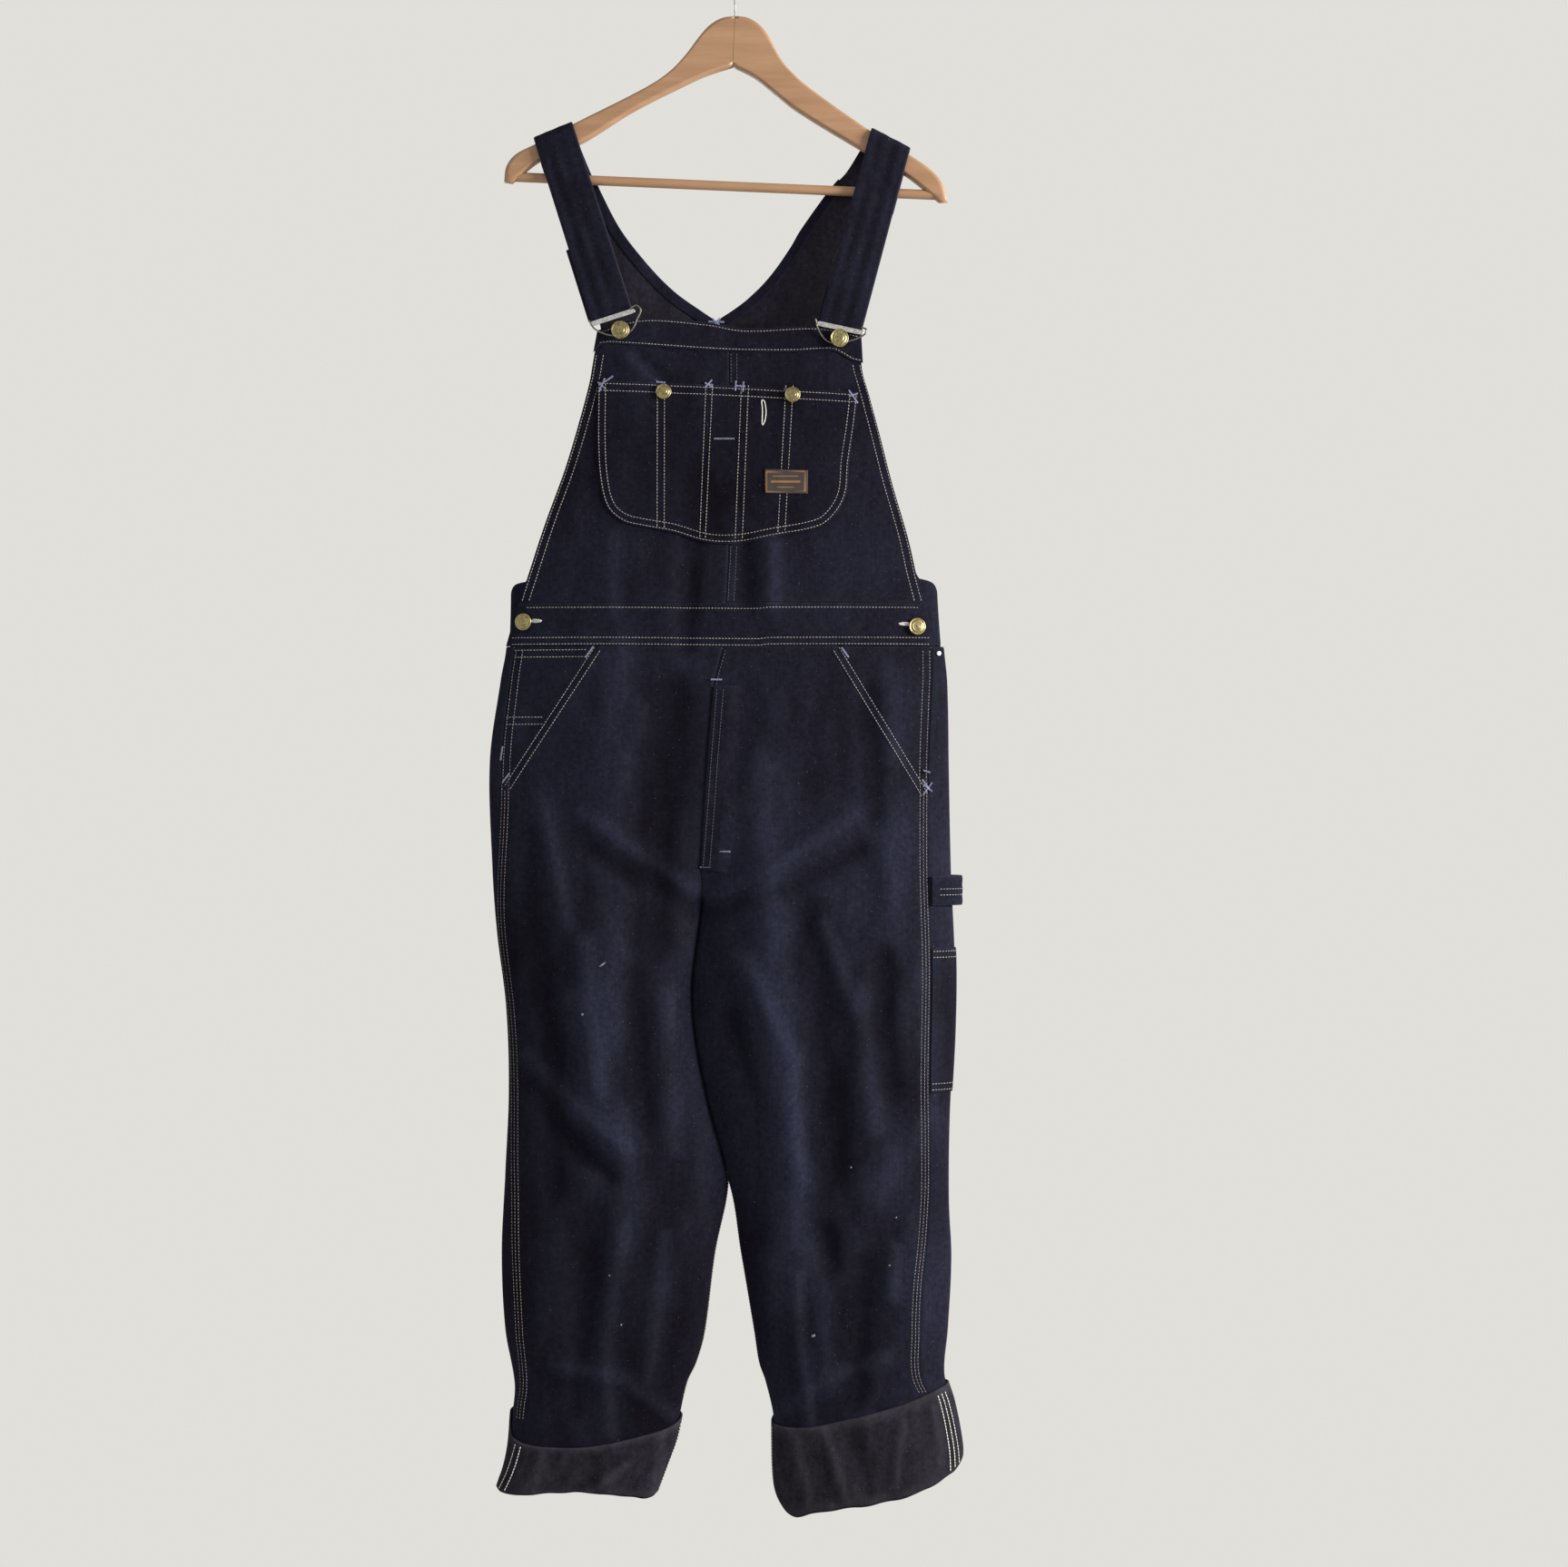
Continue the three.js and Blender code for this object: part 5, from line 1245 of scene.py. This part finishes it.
def buttonholes():
    """Whipped edges of the pocket's keyhole slot and of the band's two slots."""
    t = np.linspace(0, 2 * math.pi, 60)
    half = 1.8 + 2.0 * np.clip(np.cos(t) - 0.45, 0, 0.5)
    loop = list(zip(29.7 + half * np.sin(t) - 0.8 * np.cos(2 * t), -479.5 + 12.6 * np.cos(t)))
    sew_xz("white_whipping", FRONT, loop, ON_PATCH, pitch=0.9, length=1.3, width=0.85, height=1.0, cross=True)
    for x, z in ((-195.5, -687), (169.5, -690)):
        loop = list(zip(x + 5.0 * np.sin(t), z + 0.9 * np.cos(t) * (1 + 0.5 * np.sin(t) * np.sign(x))))
        sew_xz("white_whipping", FRONT, loop, ON_BAND, pitch=0.9, length=2.2, width=0.8, height=1.0, cross=True)


bib_stitches()
trouser_stitches()
cuff_stitches()
strap_stitches()
buttonholes()
STITCH_LIMIT = 6500  # stitches a piece, to keep each under the triangle limit
THREADS = {"tacks": TACK, "white_whipping": WHITE, "navy_bib": DARK, "navy_fly": DARK, "navy_strap": DARK,
           "cuff_stitching": WHITE, "outseam_stitching": TAN, "selvedge": WHITE}
for group, rows in seams.items():
    points = np.concatenate([p.reshape(-1, 3) for p, _ in rows])
    tone = np.concatenate([q for _, q in rows])
    for part, start in enumerate(range(0, len(points), STITCH_LIMIT * STITCH_POINTS)):
        some = slice(start, start + STITCH_LIMIT * STITCH_POINTS)
        first = np.arange(0, len(points[some]), STITCH_POINTS)
        faces = (STITCH_FACES[None] + first[:, None, None]).reshape(-1, 4)
        new_object(f"{group}_{part}", points[some], [faces], (THREADS.get(group, THREAD),), "thread",
                   tone=tone[some])


# ---- specks of pale paint ----
def paint_specks():
    """Flat drops, (face, x, z, length, width, turn in degrees), laid on the cloth."""
    specks = [
        (FRONT, -129, -1028, 7.0, 2.0, 35), (FRONT, -148.5, -1077, 2.6, 2.2, 0),
        (FRONT, 79.5, -1397, 4.2, 3.2, 20), (FRONT, 155, -1327, 2.2, 1.8, 0), (FRONT, 162, -1280, 2.0, 1.6, 50),
        (FRONT, -111, -1386, 2.4, 1.6, 80), (FRONT, -122.5, -1336.5, 2.0, 1.6, 0),
        (FRONT, 117, -1230, 2.2, 1.7, 15), (BACK, -96, -1210, 4.0, 2.4, 30), (BACK, 110, -1340, 3.0, 2.0, 0),
        (BACK, 70, -900, 2.4, 1.8, 60)]
    points, quads, threes = [], [], []
    around = circle(16)
    for index, (face, x, z, length, width, turn) in enumerate(specks):
        ragged = 1 + 0.22 * hashed(np.arange(16.0), index * 1.0, 71)
        turn = math.radians(turn)
        rim = []
        for scale, out in ((1.0, 0.02), (0.8, 0.28)):
            a, b = np.cos(around) * length / 2 * scale * ragged, np.sin(around) * width / 2 * scale * ragged
            rim.append(at_xz(face, x + a * math.cos(turn) - b * math.sin(turn),
                             z + a * math.sin(turn) + b * math.cos(turn), out))
        middle = [at_xz(face, x, z, 0.34)[None], at_xz(face, x, z, -0.1)[None]]
        points.append(np.concatenate([*rim, *middle]))
        base = index * len(points[0])
        for k in range(16):
            n = (k + 1) % 16
            quads.append((base + k, base + n, base + 16 + n, base + 16 + k))
            threes += [(base + 16 + k, base + 16 + n, base + 32), (base + n, base + k, base + 33)]
    material, tree, shader, coords = new_material("dried_paint", Roughness=0.6)
    tint = mixed(tree, noise_node(tree, coords, 900, 2.0), (0.17, 0.17, 0.18), (0.09, 0.09, 0.11))
    tree.links.new(tint, shader.inputs["Base Color"])
    new_object("paint_specks", np.concatenate(points), [np.array(quads), np.array(threes)], (material,), "thread")


paint_specks()


# ---- hardware ----
def disc(centre, radius, a, b, sides):
    """A circle of points in the plane of two unit vectors."""
    around = circle(sides)
    return centre + radius * (np.cos(around)[:, None] * a + np.sin(around)[:, None] * b)


def tube(name, cad, route, radius, rings, material, slot, sides=16):
    """A round wire through points (x, y, z), with domed ends."""
    p = np.stack(along(route)(np.linspace(0, 1, rings)), -1)
    tangent = unit(np.gradient(p, axis=0))
    up = np.cross(tangent[0], (0.31, 0.9, 0.3))
    frames = []
    for t in tangent:
        up = unit(up - t * (up @ t))
        frames.append((up, np.cross(t, up)))
    dome = ((1.0, 0.05), (0.8, 0.6), (0.4, 0.9))  # (reach past the end, scale), as shares of the radius
    spots = [(0, -reach * radius, scale) for reach, scale in dome] + [(k, 0.0, 1.0) for k in range(rings)]
    spots += [(rings - 1, reach * radius, scale) for reach, scale in dome[::-1]]
    rows = [disc(p[k] + tangent[k] * shift, radius * scale, *frames[k], sides) for k, shift, scale in spots]
    lofted(name, cad, rows, material, slot)


def lofted(name, cad, rows, material, slot):
    """A closed solid through rings of points, with a fan at each end."""
    points = np.concatenate([*rows, [np.mean(rows[0], 0)], [np.mean(rows[-1], 0)]])
    n, first, last = len(rows[0]), len(points) - 2, len(points) - 1
    k = np.arange(n)
    after, top = (k + 1) % n, first - n
    fans = np.concatenate([np.stack([after, k, np.full(n, first)], -1),
                           np.stack([top + k, top + after, np.full(n, last)], -1)])
    made = new_object(name, points, outward(points, grid_quads(len(rows), n, 0, 1), fans), (material,), slot)
    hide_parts(cad)


SHANK_X, HOOK_RADIUS, BOW_INNER = 1.5, 1.4, 17.0
bow = [((BOW_INNER + HOOK_RADIUS) * math.cos(math.radians(d)), 0.0,
        -BOW_INNER + (BOW_INNER + HOOK_RADIUS) * math.sin(math.radians(d)))
       for d in (-25, -5, 15, 35, 55, 75, 90, 105, 125, 145, 165, 180, 195)]
tube("hook_wire", "hanger_hook", [(SHANK_X, 0, -104), (SHANK_X, 0, -80), (SHANK_X, 0, -58), (3, 0, -47),
                                  (11, 0, -36.5), *bow], HOOK_RADIUS, 150, STEEL, "steel")
WIRES = {
    LEFT: [(-143, -19.1, -389), (-138, -18.6, -396.5), (-126, -17, -402), (-111, -16.6, -403),
           (-101, -17, -397.5), (-95.5, -18, -387), (-92, -19, -378), (-96, -19.1, -373.5), (-102, -19.1, -376)],
    RIGHT: [(82, -19.1, -387), (85, -18.6, -398), (93, -17, -408), (104, -16.6, -411.2), (114, -17.2, -409),
            (124, -18.6, -406), (131, -19.1, -402), (132.5, -19.1, -397.5), (128, -19.1, -395.5)],
}
SLIDES = {LEFT: (-120.5, -385, 0.31), RIGHT: (106.5, -395.5, -0.21)}
SLIDE_Y = FRONT_Y - STRAP_THICKNESS / 2 - LAY_GAP - 0.8
for side in SIDES:
    tube(f"wire_round_{WORD[side]}", f"wire_{WORD[side]}", WIRES[side], 0.85, 90, WIRE_STEEL, "steel", 14)
    x0, z0, tilt = SLIDES[side]
    rows = []
    cs, sn = np.cos(circle(32)), np.sin(circle(32))
    for s in np.linspace(-1, 1, 41):
        taper = (1 - abs(s) ** 18) ** 0.5 if abs(s) < 1 else 0.12
        high = 2.5 * taper * np.sign(sn) * np.abs(sn) ** 0.45
        thick = 0.8 * np.sign(cs) * np.abs(cs) ** 0.6 * (0.35 + 0.65 * taper)
        lx = 24.0 * s
        rows.append(np.stack([x0 + lx * math.cos(tilt) - high * math.sin(tilt), SLIDE_Y + thick,
                              z0 + lx * math.sin(tilt) + high * math.cos(tilt)], -1))
    lofted(f"slide_bar_{WORD[side]}", f"slide_{WORD[side]}", rows, STEEL, "steel")


def turned(name, cad, profile, x, z, out, material, slot, sides=56):
    """A turned piece of (radius, height) points that stands square to the cloth of the front."""
    at, normal = spot_and_normal(FRONT, x, z, out, reach=4)
    normal = unit(normal)
    a = unit(at_xz(FRONT, x + 4, z, out) - at_xz(FRONT, x - 4, z, out))
    b = np.cross(normal, a)
    lofted(name, cad, [disc(at + normal * h, r, a, b, sides) for r, h in profile], material, slot)


def button_profile(radius, neck):
    """A pressed button: rolled rim, a groove, then a low face with a ring round its middle."""
    rim = [(3, 0), (3, neck), (radius - 0.9, neck + 0.15), (radius - 0.25, neck + 0.35), (radius, neck + 0.9),
           (radius - 0.12, neck + 1.5), (radius - 0.6, neck + 1.95), (radius - 1.1, neck + 1.95),
           (radius - 1.5, neck + 1.55), (radius - 1.9, neck + 1.5)]
    face = [((radius - 2.2) * s, neck + 1.7 + 1.1 * math.sqrt(1 - s * s) + step)
            for s, step in ((0.99, 0), (0.95, 0), (0.88, 0), (0.80, 0), (0.72, 0), (0.68, -0.28),
                            (0.62, -0.30), (0.57, -0.02), (0.52, 0.18), (0.46, 0.02), (0.38, -0.05),
                            (0.25, 0), (0.1, 0.02))]
    return rim + face


# How far the buttons of each place stand out, their radius and the height of their neck, then where they are.
for place, out, radius, neck, spots in (
        ("bib", 2.5, 9.2, 3.6, ((-111, -398), (104, -406))),
        ("pocket", 2.1, 7.8, 0.8, ((-68.6, -459), (58.5, -462))),
        ("side", 1.7, 8.6, 0.8, ((-207.5, -688), (181.5, -692.5)))):
    for side, (x, z) in zip(SIDES, spots):
        name = f"button_{place}_{WORD[side]}"
        turned(f"domed_{name}", name, button_profile(radius, neck), x, z, out, BRASS, "brass")
turned("round_rivet", "rivet_side", [(2.6, 0), (2.6, 0.35), (2.3, 0.7), (1.5, 0.95), (0.8, 0.85), (0.3, 1.15)],
       204.6, -719, 0.7, STEEL, "steel", 32)

# ---- hanger ----
ARMS = {
    LEFT: ([(1.3, -80), (-12, -82), (-25, -90), (-36, -102.5), (-46.6, -117), (-63.5, -135), (-87, -151),
            (-161, -188.5), (-200, -209), (-219, -219), (-228, -231), (-229.8, -246)],
           [(-222, -247), (-193, -224), (-151, -206), (-101, -175), (-60, -154), (-28, -139), (-0.9, -130)]),
    RIGHT: ([(1.6, -80), (14, -81.5), (26, -88.5), (36, -101), (44, -117), (54.5, -132), (75, -151),
             (138.5, -196), (177, -219.5), (199, -235), (210, -249), (214.5, -266)],
            [(206, -266), (172, -239), (125, -212), (61, -173), (41, -157), (20, -140.5), (-0.6, -130)]),
}
ARM_HALF, ARM_ROUND, STEPS = 6.0, 3.2, 16  # half thickness, rounding of the edges and its steps
for side in SIDES:
    outline = np.concatenate([np.stack(along(line)(np.linspace(0, 1, 60)), -1) for line in ARMS[side]])
    joint = outline[[0, -1]]

    def drawn_in(flat, by):
        """The outline moved in, its two ends kept on the line where the arms meet."""
        way = np.gradient(flat, axis=0)
        way /= np.maximum(np.linalg.norm(way, axis=1), 1e-6)[:, None]
        flat = flat + by * side * np.stack([way[:, 1], -way[:, 0]], -1)
        flat[1:-1] += 0.12 * (flat[:-2] + flat[2:] - 2 * flat[1:-1])
        for end in (0, -1):
            share = (flat[end, 1] - joint[0, 1]) / (joint[1, 1] - joint[0, 1])
            flat[end, 0] = lerp(joint[0, 0], joint[1, 0], share)
        return flat

    insets = [outline]
    for _ in range(STEPS):
        insets.append(drawn_in(insets[-1], ARM_ROUND / STEPS))
    half_rings = []
    for count in (16, 15, 13, 11, 9, 7, 5, 3, 2, 1, 0):
        share = 1 - count / STEPS
        y = ARM_HALF - ARM_ROUND + ARM_ROUND * math.sqrt(1 - share * share)
        half_rings.append((insets[count], -y))
    half_rings += [(flat, -y) for flat, y in half_rings[::-1]]
    rings = [np.stack([flat[:, 0], np.full(len(flat), y), flat[:, 1]], -1) for flat, y in half_rings]
    points, n = np.concatenate(rings), len(outline)
    quads, cap = grid_quads(len(rings), n, 0, 1), np.arange(n)[None]
    faces = outward(points, quads, cap[:, ::-1], cap + len(points) - n)
    arm = new_object(f"arm_wood_{WORD[side]}", points, faces, (BEECH,), "beech")
    for index in [*range(n - 1, len(quads), n), len(quads), len(quads) + 1]:
        arm.data.polygons[index].use_smooth = False  # the joint and the two broad faces are flat
    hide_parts(f"hanger_arm_{WORD[side]}")

a, b = np.array((-222, 0, -240.4)), np.array((205.5, 0, -258.8))
across = np.array((0.0, 1.0, 0.0))
BAR_RADIUS, BAR_END = 4.75, ((0, 1.2), (0.0008, 0.3), (0.003, 0))  # (share along, inset) of its rounded end
bar_rows = [*BAR_END, *((k / 40, 0) for k in range(1, 40)), *((1 - k, inset) for k, inset in BAR_END[::-1])]
upright = np.cross(unit(b - a), across)
lofted("bar_wood", "hanger_bar",
       [disc(a + (b - a) * share, BAR_RADIUS - inset, across, upright, 40) for share, inset in bar_rows],
       BEECH, "beech")

# ---- what each piece was cut to: from the garment's outline and sewing, never from a mesh ----
GARMENT_DEPTH = 34.0  # how far the flattened body and legs stand open, front to back


def half_girth(width):
    """Half the way round a flattened tube."""
    a, b = width / 2, GARMENT_DEPTH / 2
    return math.pi / 2 * (3 * (a + b) - np.sqrt((3 * a + b) * (a + 3 * b)))


def panel_cut(high, low, across):
    """Width, length and area of a panel whose width is known at every height."""
    z = np.linspace(high, low, 80)
    wide = across(z)
    return wide.max(), high - low, float(((wide[1:] + wide[:-1]) / 2 * -np.diff(z)).sum())


def outline_cut(top, right, bottom, left):
    """Width, length and area inside four lines of a patch."""
    x, z = np.array([*top, *right, *bottom[::-1], *left[::-1]], float).T
    area = abs(float((x * np.roll(z, -1) - z * np.roll(x, -1)).sum())) / 2
    return np.ptp(x), np.ptp(z), area


def leg_girth(side):
    """Half of a leg's girth; above the crotch, a quarter of the body's."""
    def read(z):
        wide = np.abs(side_line[side](z) - middle_line(z) - side * leg_spread(z))
        return np.where(z > RISE_START, half_girth(2 * wide) / 2, half_girth(wide))
    return read


def strip(width, length):
    return width, length, width * length


cuts = {
    "bib_hem_cloth": outline_cut(*HEM),
    "bib_pocket_cloth": outline_cut(*POCKET),
    "label_cloth_patch": strip(LABEL_X[1] - LABEL_X[0], LABEL_Z[0] - LABEL_Z[1]),
    "waistband_cloth": panel_cut(BAND_TOP, WAIST, lambda z: bib_edge[RIGHT](z) - bib_edge[LEFT](z)),
    "fly_cloth": outline_cut(*FLY),
    # from the outseam round the leg's side, and 65 mm across the back
    "tool_pocket_cloth": strip(
        float(outseam_inset[RIGHT](TOOL_TOP)) + GARMENT_DEPTH + 65, TOOL_TOP - TOOL_BOTTOM),
    "hammer_loop_cloth": strip(2 * LOOP_HALF, sum(
        math.dist(a, b) for a, b in zip(loop_centres.tolist(), loop_centres.tolist()[1:]))),
}
for side in SIDES:
    word, girth = WORD[side], leg_girth(side)
    edge, neck, inset = back_edge[side], neck_line[side], outseam_inset[side]
    cuts[f"bib_cloth_{word}"] = panel_cut(
        BIB_TOP, BAND_TOP, lambda z: np.abs(bib_edge[side](z) - middle_line(z)))
    cuts[f"back_cloth_{word}"] = panel_cut(
        float(np.mean(BACK_TOP[side])), WAIST,
        lambda z: np.abs(edge(z) - np.where(z > NECK, neck(z), back_seam(z))))
    cuts[f"front_leg_cloth_{word}"] = panel_cut(WAIST, LEG_END, lambda z: girth(z) - inset(z))
    cuts[f"back_leg_cloth_{word}"] = panel_cut(WAIST, LEG_END, lambda z: girth(z) + inset(z))
    cuts[f"facing_cloth_{word}"] = panel_cut(
        WAIST, SLASH[side][1][1], lambda z: np.abs(side_line[side](z) - side * inset(z) - slash_x(side, z)))
    # 30 mm round the front, 10 mm over the side and 8 mm round the back
    cuts[f"placket_cloth_{word}"] = strip(48, 58)
    cuts[f"back_pocket_cloth_{word}"] = outline_cut(*BACK_POCKETS[side])
    level = np.linspace(-240, NECK, 40)
    run = np.hypot(np.diff(level), np.diff(neck(level))).sum()
    cuts[f"neck_hem_{word}"] = strip(NECK_HEM, float(run))
    top, bottom = (np.array(q, float) for q in STRAPS[side][:2])
    strap_width = (math.dist(*top) + math.dist(*bottom)) / 2
    strap_run = STRAP_LENGTH - WRAP_DROP + math.pi * ARM_WRAP + (TAIL_END - TAIL_START)
    cuts[f"strap_cloth_{word}"] = strip(strap_width, strap_run)
    cuts[f"strap_end_cloth_{word}"] = strip(strap_width, STRAP_LENGTH - STRAPS[side][2])
    angle = np.linspace(0.1, 3.0, 40)
    tall = float(np.mean(cuff_level(side, angle, 0.0) - cuff_level(side, angle, 1.0)))
    cuts[f"cuff_cloth_{word}"] = strip(2 * float(girth(LEG_END)), tall * (2 - LEG_JOIN))

for name, (width, length, area) in cuts.items():
    stem, _, word = name.rpartition("_")

# ---- floor and light ----
floor_mesh = bpy.data.meshes.new("floor")
FLOOR_RADIUS, FLOOR_LEVEL = 0.75, -1.95  # in metres
ring = [(FLOOR_RADIUS * math.cos(t), FLOOR_RADIUS * math.sin(t), FLOOR_LEVEL) for t in circle(96)]
floor_mesh.from_pydata(ring, [], [tuple(range(96))])
floor = placed("floor", floor_mesh)
material, tree, shader, coords = new_material("pale_floor", Roughness=0.8)
tint = mixed(tree, noise_node(tree, coords, 3.0), (0.34, 0.333, 0.317), (0.38, 0.372, 0.355))
tree.links.new(tint, shader.inputs["Base Color"])
floor_mesh.materials.append(material)

world = bpy.data.worlds.new("studio")
bpy.context.scene.world = world
world.use_nodes = True
background = world.node_tree.nodes["Background"]
background.inputs["Color"].default_value = (0.752, 0.740, 0.705, 1)
background.inputs["Strength"].default_value = 1.0


def area_light(name, location, target, size, power, colour):
    data = bpy.data.lights.new(name, "AREA")
    data.size = size
    data.energy = power
    data.color = colour
    made = placed(name, data)
    made.location = location
    way = np.array(target) - np.array(location)
    made.rotation_euler = (math.atan2(math.hypot(way[0], way[1]), -way[2]), 0, math.atan2(-way[0], way[1]))


area_light("key", (2.4, -0.8, -0.3), (0, 0, -0.85), 0.8, 190, (1.0, 0.98, 0.95))
area_light("fill", (-2.2, -1.6, -0.5), (0, 0, -0.9), 1.6, 6, (0.92, 0.95, 1.0))
area_light("rear", (-1.2, 2.4, 0.2), (0, 0, -0.85), 1.6, 24, (1.0, 0.99, 0.97))
bpy.context.scene.view_settings.view_transform = "Standard"
